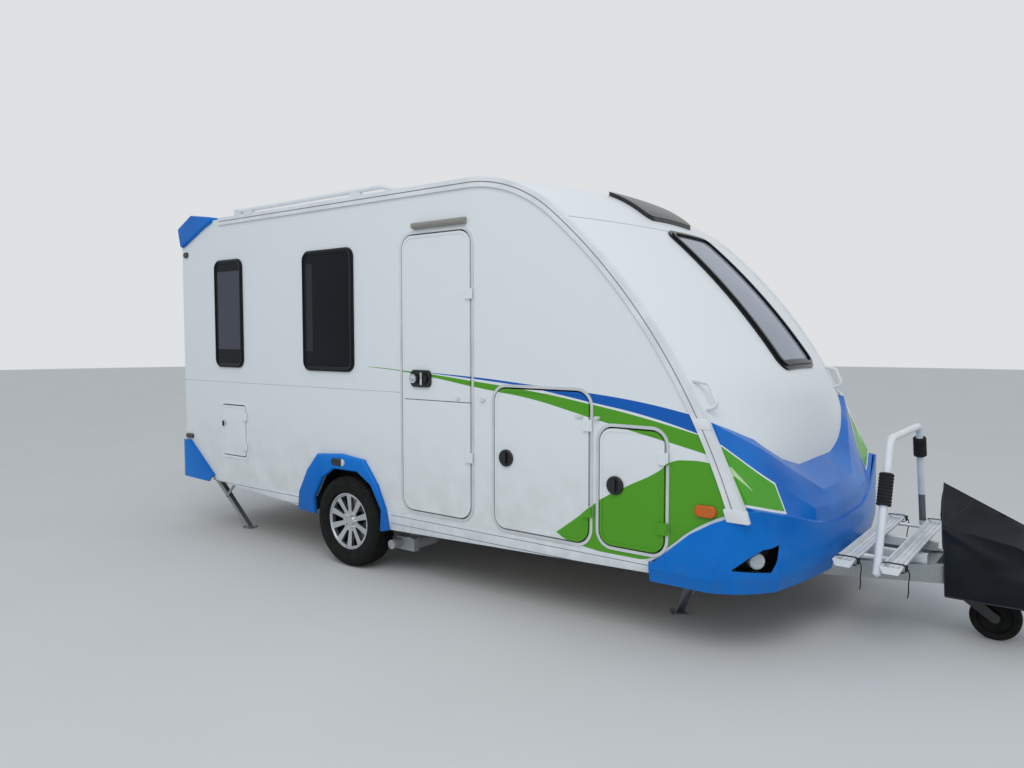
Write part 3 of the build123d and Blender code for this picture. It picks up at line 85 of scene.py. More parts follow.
def mottle(tree, place, scale, low, high, detail=3.0):
    """Noise of so many spots a metre, between two values."""
    noise = add(tree, "TexNoise", {"Vector": place, "Scale": scale, "Detail": detail})
    return add(tree, "MapRange", {"Value": noise.outputs[0], "From Min": 0.3, "From Max": 0.7,
                                  "To Min": low, "To Max": high}).outputs[0]


def painted(tree, base, *coats):
    """A base colour under coats, each a colour and the mask that lets it show."""
    for coat, mask in coats:
        base = add(tree, "Mix", {"Factor": mask, 6: base, 7: coat}, data_type="RGBA").outputs[2]
    return base


def bumped(tree, shader, height, depth):
    """Gives the shader a bump of so many metres from a height socket."""
    bump = add(tree, "Bump", {"Height": height, "Distance": depth, "Strength": 1.0})
    tree.links.new(bump.outputs[0], shader.inputs["Normal"])


def under_line(tree, along, height, rows, straight=False):
    """1 where the height is below a smooth or straight-sided line through rows of X and Z, in metres."""
    x0, x1 = rows[0][0], rows[-1][0]
    share = add(tree, "MapRange", {"Value": along, "From Min": x0, "From Max": x1}).outputs[0]
    curve = add(tree, "FloatCurve", {"Value": share})
    points = curve.mapping.curves[0].points
    points[0].location = (0.0, rows[0][1] / 2)
    points[1].location = (1.0, rows[-1][1] / 2)
    for x, z in rows[1:-1]:
        points.new((x - x0) / (x1 - x0), z / 2)
    if straight:
        for point in points:
            point.handle_type = "VECTOR"
    curve.mapping.update()
    gap = add(tree, "Math", {0: curve.outputs[0], 1: 2.0}, operation="MULTIPLY").outputs[0]
    gap = add(tree, "Math", {0: gap, 1: height}, operation="SUBTRACT").outputs[0]
    return add(tree, "MapRange", {"Value": gap, "From Min": -0.0008, "From Max": 0.0008}).outputs[0]


def product(tree, *sockets):
    """The product of several masks."""
    whole = sockets[0]
    for socket in sockets[1:]:
        whole = add(tree, "Math", {0: whole, 1: socket}, operation="MULTIPLY").outputs[0]
    return whole


def between(tree, socket, low, high):
    """1 between two values, with edges a millimetre wide."""
    above = add(tree, "MapRange", {"Value": socket, "From Min": low - 0.0005, "From Max": low + 0.0005})
    below = add(tree, "MapRange", {"Value": socket, "From Min": high + 0.0005, "From Max": high - 0.0005})
    return product(tree, above.outputs[0], below.outputs[0])


def band(tree, along, height, top, low, start, end, straight=False):
    """1 between a top and a low line, from start to end."""
    cut = add(tree, "Math", {0: 1.0, 1: under_line(tree, along, height, low, straight)}, operation="SUBTRACT")
    return product(tree, under_line(tree, along, height, top, straight), cut.outputs[0],
                   between(tree, along, start, end))


def dress(finish, *names):
    """Gives CAD nodes their finish."""
    for name in names:
        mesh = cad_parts[name].data
        mesh.materials.clear()
        mesh.materials.append(finish)


# Lines of the vinyl bands on the sides: X and Z in metres.
BLUE_TOP = [(-0.127, 1.331), (0.251, 1.312), (0.607, 1.285), (0.993, 1.255), (1.284, 1.223), (1.557, 1.175)]
BLUE_LOW = [(-0.127, 1.327), (0.251, 1.300), (0.607, 1.268), (0.993, 1.208), (1.285, 1.161), (1.588, 1.088)]
GREEN_TOP = [(-0.700, 1.3565), (-0.547, 1.3495), (-0.411, 1.341), (-0.127, 1.321), (0.251, 1.286),
             (0.607, 1.252), (0.993, 1.198), (1.285, 1.148), (1.599, 1.080)]
GREEN_LOW = [(-0.700, 1.3535), (-0.547, 1.3445), (-0.411, 1.335), (-0.127, 1.303),
             (0.250, 1.251), (0.608, 1.208), (0.882, 1.152), (1.054, 1.113), (1.286, 1.066), (1.635, 0.992)]
LEAF_TOP = [(0.780, 0.493), (0.955, 0.624), (1.040, 0.694), (1.204, 0.789), (1.398, 0.896), (1.440, 0.933),
            (1.555, 0.956), (1.666, 0.950)]
LEAF_LOW = [(0.780, 0.493), (0.870, 0.455), (0.956, 0.440), (1.300, 0.432), (1.346, 0.447), (1.460, 0.531),
            (1.536, 0.597), (1.615, 0.651), (1.719, 0.706), (1.800, 0.735)]

BLUE = colour("#005BB6")
GREEN = colour("#519C20")
SEAM_GREY = colour("#8D9499")

# Ranges, in metres, of what is painted between two planes.
OUTER_FACE_Y = (1.145, 1.300)
WALL_SEAM_X, WALL_SEAM_Z = (-2.95, -0.40), (1.1990, 1.2015)
DOOR_SEAM_X, DOOR_SEAM_Z = (-0.362, 0.181), (1.1605, 1.1655)
LEFT_KNOB_X, LEFT_KNOB_Y, LEFT_KNOB_Z = (0.390, 0.490), (1.1615, 1.2), (0.815, 0.915)
CAP_SEAM_X, CAP_SEAM_Z = (0.5, 1.5), (2.189, 2.193)


def enamel(name, base, bands):
    """Glossy white enamel, faintly wavy, a little dusty low down."""
    finish, tree, shader, place = new_finish(name, Roughness=0.3, Specular_IOR_Level=0.3)
    x, y, z = add(tree, "SeparateXYZ", {0: place}).outputs
    dust = add(tree, "MapRange", {"Value": z, "From Min": 1.0, "From Max": 0.38}).outputs[0]
    dust = product(tree, dust, mottle(tree, place, 7.0, 0.05, 0.45))
    paint = painted(tree, colour(base), (colour("#B9B6AC"), dust))
    if bands:
        aside = add(tree, "Math", {0: y}, operation="ABSOLUTE").outputs[0]
        face = between(tree, aside, *OUTER_FACE_Y)
        seam = product(tree, between(tree, z, *WALL_SEAM_Z), between(tree, x, *WALL_SEAM_X))
        door_seam = product(tree, between(tree, z, *DOOR_SEAM_Z), between(tree, x, *DOOR_SEAM_X),
                            between(tree, y, -1.3, 0.0))
        left_knob = product(tree, between(tree, y, *LEFT_KNOB_Y), between(tree, x, *LEFT_KNOB_X),
                            between(tree, z, *LEFT_KNOB_Z))
        paint = painted(tree, paint,
                        (GREEN, product(tree, face, band(tree, x, z, GREEN_TOP, GREEN_LOW, -0.700, 1.9))),
                        (GREEN, product(tree, face, band(tree, x, z, LEAF_TOP, LEAF_LOW, 0.780, 1.9))),
                        (BLUE, product(tree, face, band(tree, x, z, BLUE_TOP, BLUE_LOW, -0.127, 1.9))),
                        (SEAM_GREY, seam), (colour("#4A4F54"), door_seam), (colour("#121316"), left_knob))
    else:
        cap_seam = product(tree, between(tree, z, *CAP_SEAM_Z), between(tree, x, *CAP_SEAM_X))
        paint = painted(tree, paint, (SEAM_GREY, cap_seam))
    tree.links.new(paint, shader.inputs["Base Color"])
    bumped(tree, shader, mottle(tree, place, 6.0, 0.0, 1.0, 1.0), 0.0006)
    return finish


side_paint = enamel("Stove enamel on aluminium sheet, with vinyl bands", "#E2E7EA", True)
front_paint = enamel("White gelcoat of the roof and front", "#E6EAED", False)
dress(side_paint, "side_wall_right", "side_wall_left", "door_leaf", "garage_hatch_right", "garage_hatch_left",
      "gas_hatch")
dress(front_paint, "roof_panel", "front_panel", "rear_wall", "service_hatch")


# Floor and wheel housings. The floor is birch ply glued on foam board and varnished,
# and drawn black over the axle. The housings are vacuum-formed black polythene tubs, screwed
# up under it, and road dust has greyed them.

# Warm brown with the grain's long pale waves, and black over the axle.
ply, tree, shader, place = new_finish("Varnished birch ply", Roughness=0.55)
grain = add(tree, "TexWave", {"Vector": place, "Scale": 3.0, "Distortion": 6.0, "Detail": 3.0},
            bands_direction="Y")
along = add(tree, "SeparateXYZ", {0: place}).outputs["X"]
tint = painted(tree, colour("#6B553D"), (colour("#8A7050"), grain.outputs[0]),
               (colour("#17181A"), between(tree, along, -1.42, -0.42)))
tree.links.new(tint, shader.inputs["Base Color"])
dress(ply, "floor_panel")


def plastic(name, dark, light, rough, grain_size, depth, gloss=0.5):
    """Moulded plastic with a fine grain of so many metres."""
    finish, tree, shader, place = new_finish(name, Roughness=rough, Specular_IOR_Level=gloss)
    share = mottle(tree, place, 9.0, 0.0, 1.0)
    tree.links.new(painted(tree, colour(dark), (colour(light), share)), shader.inputs["Base Color"])
    bumped(tree, shader, mottle(tree, place, 1.0 / grain_size, 0.0, 1.0), depth)
    return finish


# Dull and faintly rough, with grey patches of dust.
tub = plastic("Black polythene, dusty", "#17181A", "#2C2C2B", 0.8, 0.004, 0.0004)
dress(tub, "wheel_housings")


# Blue mouldings: vacuum-formed, self-coloured ABS with an acrylic cap layer. The apron
# also carries a green panel with a white edge on each side, between rail and blade, with a
# pale painted highlight across it; its lamp recess is painted black as painted shade.

# The lamp recess, painted near-black as painted shade, is drawn in a plane turned from the length of the
# caravan.
RECESS_TURN = math.radians(48.0)
RECESS_MIDDLE = 0.4636


def moulding(name, panels_and_painted_light):
    """Glossy blue ABS; on the apron, stuck-on panels, a painted highlight and painted shade in the lamp
    recess.
    """
    finish, tree, shader, place = new_finish(name, Roughness=0.25, Specular_IOR_Level=0.14)
    x, y, z = add(tree, "SeparateXYZ", {0: place}).outputs
    low_dust = add(tree, "MapRange", {"Value": z, "From Min": 0.55, "From Max": 0.3}).outputs[0]
    low_dust = product(tree, low_dust, mottle(tree, place, 14.0, 0.0, 0.35))
    paint = painted(tree, BLUE, (colour("#0F80DE"), mottle(tree, place, 1.6, 0.1, 0.8)),
                    (colour("#4C6C8C"), low_dust))
    if panels_and_painted_light:
        aside = add(tree, "Math", {0: y}, operation="ABSOLUTE").outputs[0]
        white = band(tree, aside, z, [(0.78, 0.822), (0.80, 0.832), (1.12, 1.040), (1.30, 1.157)],
                     [(0.78, 0.676), (0.80, 0.680), (1.12, 0.757), (1.30, 0.80)], 0.788, 1.2)
        green = band(tree, aside, z, [(0.78, 0.810), (0.80, 0.820), (1.12, 1.030), (1.30, 1.150)],
                     [(0.78, 0.688), (0.80, 0.692), (1.12, 0.769), (1.30, 0.812)], 0.798, 1.2)
        # A pale green band across each green panel: a painted highlight.
        painted_highlight = band(tree, aside, z, [(1.02, 0.816), (1.06, 0.866), (1.10, 0.915), (1.125, 0.945)],
                      [(1.02, 0.812), (1.06, 0.848), (1.10, 0.878), (1.125, 0.900)], 1.025, 1.2)
        # Near-black over the lamp recess: painted shade.
        across = add(tree, "Math", {0: x, 1: math.cos(RECESS_TURN), 2: -RECESS_MIDDLE},
                     operation="MULTIPLY_ADD").outputs[0]
        across = add(tree, "Math", {0: aside, 1: -math.sin(RECESS_TURN), 2: across},
                     operation="MULTIPLY_ADD").outputs[0]
        recess = band(tree, across, z, [(-0.136, 0.458), (-0.067, 0.514), (0.004, 0.556), (0.110, 0.564)],
                      [(-0.136, 0.452), (0.061, 0.4365), (0.095, 0.4955), (0.110, 0.560)], -0.134, 0.108,
                      straight=True)
        paint = painted(tree, paint, (colour("#E6EAEC"), white), (colour("#4CA51F"), green),
                        (colour("#BFDDA8"), painted_highlight), (colour("#07090B"), recess))
    tree.links.new(paint, shader.inputs["Base Color"])
    bumped(tree, shader, mottle(tree, place, 9.0, 0.0, 1.0, 1.0), 0.0005)
    return finish


apron_abs = moulding("Blue ABS apron with vinyl panels", True)
blue_abs = moulding("Blue ABS", False)


def modify(piece, kind, **settings):
    """Adds a modifier with its settings and applies it."""
    modifier = piece.modifiers.new(kind, kind)
    for name, value in settings.items():
        setattr(modifier, name, value)
    bpy.context.view_layer.objects.active = piece
    bpy.ops.object.modifier_apply(modifier=modifier.name)


def close(piece, finish, body=None, soften=0.0, smooth=38.0):
    """Leaves edit mode, rounds the sharp edges, smooths, finishes, and hangs it on its body."""
    bpy.ops.object.mode_set(mode="OBJECT")
    if soften:
        modify(piece, "BEVEL", width=soften, segments=2, limit_method="ANGLE", angle_limit=math.radians(35))
    bpy.ops.object.select_all(action="DESELECT")
    piece.select_set(True)
    bpy.context.view_layer.objects.active = piece
    bpy.ops.object.shade_smooth_by_angle(angle=math.radians(smooth))
    piece.data.materials.clear()
    piece.data.materials.append(finish)
    if body:
        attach(piece, body)
    return piece


def softened(name, body, width, finish, smooth=38.0):
    """Replaces a CAD node with a merged copy of its mesh, its creases rounded."""
    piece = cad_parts[name].copy()
    piece.data = piece.data.copy()
    piece.name = name + "_moulded"
    scene.collection.objects.link(piece)
    bpy.ops.object.select_all(action="DESELECT")
    piece.select_set(True)
    bpy.context.view_layer.objects.active = piece
    bpy.ops.mesh.customdata_custom_splitnormals_clear()
    bpy.ops.object.mode_set(mode="EDIT")
    bpy.ops.mesh.select_all(action="SELECT")
    bpy.ops.mesh.remove_doubles(threshold=0.0002)
    bpy.ops.mesh.dissolve_limited(angle_limit=math.radians(1.0))
    bpy.ops.object.mode_set(mode="OBJECT")
    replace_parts(close(piece, finish, body, soften=width, smooth=smooth), name)
    return piece


softened("front_apron", "caravan_body", 0.003, apron_abs, smooth=13.0)
softened("rear_bumper", "caravan_body", 0.005, blue_abs, smooth=20.0)
softened("rear_corner_caps", "caravan_body", 0.006, blue_abs, smooth=20.0)
softened("wheel_arch_trims", "caravan_body", 0.004, blue_abs, smooth=20.0)


# Rails, skirts, handles and frames. They are extruded aluminium, bent to the wall's
# outline and screwed on over sealing tape. The frames are silver anodised, the rest has a
# white or pale grey powder coat, and moulded nylon caps and clips close the cut ends.

# White, satin, with the coat's faint orange-peel.
rail_coat = plastic("Powder-coated aluminium, white", "#D9DDE1", "#E6E9EC", 0.3, 0.003, 0.0001)

# The same coat, with the dark line of the groove that the awning's cord slides in.
rail_groove, tree, shader, place = new_finish("Powder-coated rail, shadow in its groove", Roughness=0.3)
across = add(tree, "SeparateXYZ", {0: place}).outputs["Y"]
aside = add(tree, "Math", {0: across}, operation="ABSOLUTE").outputs[0]
tint = painted(tree, colour("#D9DDE1"), (colour("#E6E9EC"), mottle(tree, place, 9.0, 0.0, 1.0)),
               (colour("#8A888D"), between(tree, aside, 1.1606, 1.1614)))
tree.links.new(tint, shader.inputs["Base Color"])
dress(rail_groove, "awning_rails")

# A soft metal shine on the door's and hatches' frames, and white paint behind the wheel.
silver, tree, shader, place = new_finish("Silver anodised frames, white round the service hatch",
                                         Roughness=0.3)
along = add(tree, "SeparateXYZ", {0: place}).outputs["X"]
bare = add(tree, "MapRange", {"Value": along, "From Min": -1.98, "From Max": -1.97, "To Max": 0.5}).outputs[0]
tree.links.new(bare, shader.inputs["Metallic"])
tint = painted(tree, colour("#CFD3D7"), (colour("#DFE2E5"), mottle(tree, place, 9.0, 0.0, 1.0)),
               (colour("#E6EAED"), between(tree, along, -2.45, -1.98)))
tree.links.new(tint, shader.inputs["Base Color"])

# Pale grey, satin, with a dark line of painted shade in each of the two grooves along it.
skirt_coat, tree, shader, place = new_finish("Powder-coated skirt, painted shade in two grooves", Roughness=0.35)
height = add(tree, "SeparateXYZ", {0: place}).outputs["Z"]
tint = painted(tree, colour("#CFD4D8"), (colour("#E0E4E7"), mottle(tree, place, 12.0, 0.0, 1.0)),
               (colour("#6E747A"), between(tree, height, 0.352, 0.356)),
               (colour("#6E747A"), between(tree, height, 0.404, 0.408)))
tree.links.new(tint, shader.inputs["Base Color"])
dress(rail_coat, "roof_rails", "grab_handles")
dress(silver, "opening_frames")


def start(operator, name, **settings):
    """Adds one primitive alone and opens it in edit mode with nothing selected."""
    bpy.ops.object.select_all(action="DESELECT")
    operator(**settings)
    piece = bpy.context.object
    piece.name = name
    bpy.ops.object.transform_apply(location=True, rotation=True, scale=True)
    bpy.ops.object.mode_set(mode="EDIT")
    bpy.ops.mesh.select_all(action="DESELECT")
    return piece


def pick(piece, kind, test):
    """Selects the faces, edges or verts that pass a test on their middle and direction."""
    bpy.ops.mesh.select_mode(type={"faces": "FACE", "edges": "EDGE", "verts": "VERT"}[kind])
    bpy.ops.mesh.select_all(action="DESELECT")
    shape = bmesh.from_edit_mesh(piece.data)
    for part in getattr(shape, kind):
        if kind == "faces":
            chosen = test(part.calc_center_median(), part.normal)
        elif kind == "edges":
            ends = [v.co for v in part.verts]
            chosen = test((ends[0] + ends[1]) / 2, (ends[1] - ends[0]).normalized())
        else:
            chosen = test(part.co, part.normal)
        part.select_set(chosen)
    shape.select_flush_mode()
    bmesh.update_edit_mesh(piece.data)


def push(x, y, z):
    """Extrudes what is selected by so many metres."""
    bpy.ops.mesh.extrude_region_move(TRANSFORM_OT_translate={"value": (x, y, z)})


def placed(piece, matrix):
    """Moves a piece's mesh by a matrix, and keeps its faces outwards when that mirrors it."""
    piece.data.transform(matrix)
    if matrix.determinant() < 0:
        piece.data.flip_normals()
    return piece


def copied(piece, name, matrix):
    """A copy with a mesh of its own, moved by a matrix, on the same body."""
    twin = piece.copy()
    twin.data = piece.data.copy()
    twin.name = name
    scene.collection.objects.link(twin)
    return placed(twin, matrix)


def joined(pieces, name):
    """Several pieces as one."""
    bpy.ops.object.select_all(action="DESELECT")
    for piece in pieces:
        piece.select_set(True)
    bpy.context.view_layer.objects.active = pieces[0]
    bpy.ops.object.join()
    pieces[0].name = name
    return pieces[0]


def block(name, low, high, finish, body, soften=0.002, dish=0.0):
    """A rounded block between two corners, its face towards -Y set in by a dish."""
    middle = [(a + b) / 2 for a, b in zip(low, high)]
    size = [b - a for a, b in zip(low, high)]
    piece = start(bpy.ops.mesh.primitive_cube_add, name, size=1.0, location=middle, scale=size)
    if dish:
        pick(piece, "faces", lambda centre, normal: normal.y < -0.9)
        bpy.ops.mesh.inset(thickness=min(size[0], size[2]) * 0.2)
        push(0, dish, 0)
    return close(piece, finish, body, soften=soften)


def both_sides(piece):
    """Joins a piece of the right side with its mirror image on the left."""
    twin = copied(piece, piece.name + "_left", Matrix.Scale(-1, 4, (0, 1, 0)))
    return joined([piece, twin], piece.name + "s")


def leaned(piece, lean, level):
    """Slopes a mesh back by so many metres a metre of height, about a level, as the rail slopes."""
    return placed(piece, Matrix(((1, 0, -lean, lean * level), (0, 1, 0, 0), (0, 0, 1, 0), (0, 0, 0, 1))))


rail_cap = block("rail_end_cap", (1.738, -1.1845, 0.690), (1.847, -1.150, 0.750), rail_coat, "caravan_body",
                 soften=0.005)
both_sides(leaned(rail_cap, 0.3, 0.715))
rail_joint = block("rail_joint", (1.570, -1.1685, 1.110), (1.645, -1.150, 1.162), rail_coat, "caravan_body")
both_sides(leaned(rail_joint, 0.49, 1.136))
both_sides(block("skirt_end_cap", (-0.548, -1.1535, 0.309), (-0.484, -1.120, 0.4285), rail_coat,
                 "caravan_body"))
softened("skirt_rails", "caravan_body", 0.0025, skirt_coat)


# Arch liners: a strip of black polythene sheet stands behind the rear foot of each arch,
# riveted to the tub's lip, and keeps spray off the floor's edge.

both_sides(block("arch_liner", (-1.2925, -1.1525, 0.330), (-1.2865, -0.930, 0.610), tub, "caravan_body"))


# Windows: double panes of blown acrylic, tinted smoke grey, in stepped surrounds of
# black gloss ABS that clip on over the wall's cut edge. Pale blinds are drawn behind some
# side panes, and the front pane carries a painted reflection.

# Deep black with a clear, slightly wavy gloss.
black_abs = plastic("Black gloss ABS", "#0B0C10", "#121419", 0.2, 0.02, 0.0002, gloss=0.25)
dress(black_abs, "window_frames", "front_window_frame")


def window_surround(width, height):
    """Stepped surround, its back on the plane y = 0 and its face towards -Y."""
    piece = start(bpy.ops.mesh.primitive_cube_add, "surround", size=1.0, location=(0, -0.006, 0),
                  scale=(width, 0.012, height))
    pick(piece, "edges", lambda middle, run: abs(run.y) > 0.9)
    bpy.ops.mesh.bevel(offset=0.065, segments=8, affect="EDGES")
    pick(piece, "faces", lambda middle, normal: normal.y < -0.9)
    bpy.ops.mesh.inset(thickness=0.010)
    push(0, -0.009, 0)
    bpy.ops.mesh.inset(thickness=0.010)
    push(0, 0.009, 0)
    bpy.ops.mesh.inset(thickness=0.013)
    push(0, 0.005, 0)
    return close(piece, black_abs, soften=0.002)


# Middle X, middle Z, width and height of the openings on each side wall.
SIDE_WINDOWS = {"right": [(-2.2595, 1.7275, 0.361, 0.825), (-1.097, 1.7275, 0.524, 0.825)],
                "left": [(-2.2595, 1.7275, 0.361, 0.825), (-0.847, 1.640, 1.024, 0.650)]}
surrounds = []
for side, rows in SIDE_WINDOWS.items():
    turn = Matrix.Identity(4) if side == "right" else Matrix.Rotation(math.pi, 4, "Z")
    for x, z, width, height in rows:
        wall = -1.154 if side == "right" else 1.154
        surrounds.append(placed(window_surround(width, height), Matrix.Translation((x, wall, z)) @ turn))
rear_turn = Matrix.Translation((-2.910, 0, 1.630)) @ Matrix.Rotation(-math.pi / 2, 4, "Z")
surrounds.append(placed(window_surround(1.040, 0.600), rear_turn))
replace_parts(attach(joined(surrounds, "window_surrounds"), "caravan_body"), "window_frames")

# Nearly black and mirror-smooth, paler where a blind hangs behind; painted reflection on the front pane.
smoke, tree, shader, place = new_finish("Smoke-tinted acrylic, blinds and painted reflection", Roughness=0.06,
                                        Specular_IOR_Level=0.12)
x, _, z = add(tree, "SeparateXYZ", {0: place}).outputs
small_blind = product(tree, between(tree, x, -2.6, -1.9), between(tree, z, 1.455, 2.05))
middle_blind = product(tree, between(tree, x, -1.34, -1.255), between(tree, z, 1.45, 2.05))
# Pale mottled lilac-grey over the front pane: a painted reflection.
front_reflection = product(tree, between(tree, x, 0.6, 2.2), mottle(tree, place, 2.0, 0.72, 0.9))
tint = painted(tree, colour("#04070E"), (colour("#0C1320"), mottle(tree, place, 1.2, 0.0, 1.0)),
               (colour("#464956"), small_blind), (colour("#2B2F33"), middle_blind),
               (colour("#A6ACBB"), front_reflection))
tree.links.new(tint, shader.inputs["Base Color"])
dress(smoke, "window_panes")


# Roof lights and refrigerator vents. The lights are milky acrylic domes, blow-moulded,
# with smoked glass set in the front one; the vents are injection-moulded white grilles.

# Milky white, satin; the front light is black round a dark green-grey pane.
roof_glass, tree, shader, place = new_finish("Milky acrylic domes, smoked over the front", Roughness=0.3)
x, y = add(tree, "SeparateXYZ", {0: place}).outputs[:2]
glass = product(tree, between(tree, x, 0.625, 0.835), between(tree, y, -0.262, 0.262))
milk = painted(tree, colour("#C3C9CC"), (colour("#D5DADC"), mottle(tree, place, 5.0, 0.0, 1.0)),
               (colour("#0E1012"), between(tree, x, 0.4, 1.2)), (colour("#39423F"), glass))
tree.links.new(milk, shader.inputs["Base Color"])
dress(roof_glass, "roof_lights")
dress(plastic("White vent plastic", "#DFE2E2", "#E8EAEA", 0.4, 0.004, 0.0002), "fridge_vents")


# Locks, knobs, catches and the handbrake grip. The turning knobs, lock and grip are black
# glass-filled nylon with a spark-eroded grain. The door lock's disc and bar are chromed
# zinc, and the catches that hold an open leaf are white nylon in two halves.

# Black, dull, with a fine even grain.
nylon = plastic("Black nylon", "#101113", "#1B1C1E", 0.45, 0.0015, 0.0002)
dress(nylon, "garage_knob_right", "gas_knob", "handbrake_lever", "door_lock")

# Bright and sharp in its reflections, hardly clouded.
chrome, tree, shader, place = new_finish("Chromed zinc", Metallic=1.0, Roughness=0.16)
tree.links.new(painted(tree, colour("#C4C8CB"), (colour("#DFE2E4"), mottle(tree, place, 30.0, 0.0, 1.0))),
               shader.inputs["Base Color"])

# Off-white, dull, as smooth as its mould.
white_nylon = plastic("White nylon", "#D3D6D8", "#E1E4E5", 0.45, 0.002, 0.0002)


def disc(name, place, radius, proud, rim, finish, body):
    """A round fitting on the right wall: a disc with a raised rim and a dished face."""
    piece = start(bpy.ops.mesh.primitive_circle_add, name, vertices=40, radius=radius, fill_type="NGON",
                  location=place, rotation=(math.pi / 2, 0, 0))
    bpy.ops.mesh.select_all(action="SELECT")
    push(0, -proud, 0)
    bpy.ops.mesh.inset(thickness=rim)
    push(0, proud * 0.5, 0)
    bpy.ops.mesh.inset(thickness=rim)
    push(0, -proud * 0.3, 0)
    bpy.ops.mesh.select_all(action="SELECT")
    bpy.ops.mesh.normals_make_consistent(inside=False)
    return close(piece, finish, body, soften=0.0008)


# Each has its place, or its two corners, in metres on the right wall.
disc("door_lock_disc", (-0.269, -1.1855, 1.293), 0.028, 0.004, 0.005, chrome, "entrance_door")
block("door_lock_bar", (-0.205, -1.191, 1.256), (-0.189, -1.183, 1.331), chrome, "entrance_door", dish=0.002)
block("door_catch", (0.068, -1.172, 1.179), (0.094, -1.158, 1.193), white_nylon, "entrance_door", dish=0.003)
block("door_catch_wall", (0.254, -1.173, 1.180), (0.284, -1.152, 1.196), white_nylon, "caravan_body",
      dish=0.003)
block("hatch_catch", (0.905, -1.171, 1.1255), (0.950, -1.158, 1.1365), white_nylon, "garage_lid_right",
      dish=0.002)
block("hatch_catch_wall", (1.021, -1.173, 1.123), (1.049, -1.152, 1.137), white_nylon, "caravan_body",
      dish=0.003)
service_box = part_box("service_hatch")
block("service_lock", (service_box[0][0] + 0.020, service_box[0][1] - 0.004, 0.858),
      (service_box[0][0] + 0.038, service_box[0][1] + 0.003, 0.900), nylon, "service_lid", dish=0.002)


# Lamps: injection-moulded lenses, ribbed inside, welded over bright bowls and screwed to
# the walls, bumper and apron. The long lamp over the door has a grey frosted lens.

# Ranges in metres of the lamps, and parts of lamps, that have another colour than their lens.
TAIL_X, TAIL_AMBER_Y = (-3.1, -2.9), (0.785, 0.885)
TAIL_RIM_X = (-2.9965, -2.96)
ARCH_MARKER_X, ARCH_MARKER_END_X = (-1.2, -0.7), (-0.935, -0.908)
REAR_MARKER_X = (-2.95, -2.6)


def lens(name, deep, bright):
    """Glossy lens plastic with ribs 6 mm apart, over its own reflector."""
    finish, tree, shader, place = new_finish(name, Roughness=0.15)
    ribs = add(tree, "TexWave", {"Vector": place, "Scale": 55.0}, bands_direction="Z")
    x, y = add(tree, "SeparateXYZ", {0: place}).outputs[:2]
    aside = add(tree, "Math", {0: y}, operation="ABSOLUTE").outputs[0]
    amber = product(tree, between(tree, aside, *TAIL_AMBER_Y), between(tree, x, *TAIL_X))
    paint = painted(tree, colour(deep), (colour(bright), ribs.outputs[0]),
                    (colour("#14171B"), between(tree, x, *ARCH_MARKER_X)),
                    (colour("#C9D2D8"), between(tree, x, *ARCH_MARKER_END_X)),
                    (colour("#E0741C"), amber),
                    (colour("#1A1B1D"), between(tree, x, *TAIL_RIM_X)),
                    (colour("#39312D"), between(tree, x, *REAR_MARKER_X)))
    tree.links.new(paint, shader.inputs["Base Color"])
    bumped(tree, shader, ribs.outputs[0], 0.0006)
    return finish


dress(lens("Amber lens, smoked over the wheel", "#A3450A", "#E2761B"), "marker_lamps")
dress(lens("Red lens", "#7C0A0C", "#C11419"), "tail_lamps")
dress(lens("Clear lens", "#8E979C", "#DDE4E8"), "front_lamps")
softened("awning_lamp", "caravan_body", 0.012, lens("Grey awning lamp", "#77756E", "#A3A099"))


# Chassis, axle, drawbar and steadies: folded and welded steel, hot-dip galvanised and
# gone dull. The jockey tube and fork are painted dark grey, and the coupling's body and
# the drives' housings are sand-cast aluminium.

# Grey, half shiny, with the zinc's spangle, drawn at 11 mm so that it shows.
galvanised, tree, shader, place = new_finish("Galvanised steel", Metallic=0.75, Roughness=0.5)
spangle = add(tree, "TexVoronoi", {"Vector": place, "Scale": 90.0}).outputs["Distance"]
tree.links.new(painted(tree, colour("#959A9D"), (colour("#A6ABAE"), spangle)), shader.inputs["Base Color"])
bumped(tree, shader, mottle(tree, place, 160.0, 0.0, 1.0), 0.0001)
steel_nodes = [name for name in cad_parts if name.startswith("steady")]
steel_nodes += ["chassis_rails", "drawbar", "axle", "jockey_post"]
dress(galvanised, *steel_nodes)

# Dark grey, dull, uneven as brushed-on paint is.
dark_paint = plastic("Steel painted dark grey", "#242626", "#3D3F3E", 0.5, 0.004, 0.0003)
dress(dark_paint, "jockey_tube", "jockey_fork")

# Dull grey, with faint streaks where spray has dried along it.
cast_alloy, tree, shader, place = new_finish("Sand-cast aluminium", Roughness=0.6, Metallic=0.35)
long_way = add(tree, "Mapping", {0: place, 3: (0.4, 60.0, 60.0)}).outputs[0]
tree.links.new(painted(tree, colour("#A5A9AB"), (colour("#9AA1A8"), mottle(tree, long_way, 9.0, 0.0, 0.5))),
               shader.inputs["Base Color"])
bumped(tree, shader, mottle(tree, long_way, 30.0, 0.0, 1.0), 0.0001)
dress(cast_alloy, "coupling_head", "mover_units")


# Wheels: tubeless road tyres, 185 mm wide, on 14 inch alloy rims with open spokes. Each
# tyre is turned about its axle, and its tread blocks and sidewall rings are cut after.

# Black gone grey-brown with dust, without gloss.
rubber, tree, shader, place = new_finish("Tyre rubber, dusty", Roughness=0.8, Specular_IOR_Level=0.2)
tree.links.new(painted(tree, colour("#0E0F11"), (colour("#2A2925"), mottle(tree, place, 22.0, 0.0, 0.5))),
               shader.inputs["Base Color"])
bumped(tree, shader, mottle(tree, place, 320.0, 0.0, 1.0), 0.0002)
dress(rubber, "jockey_wheel")
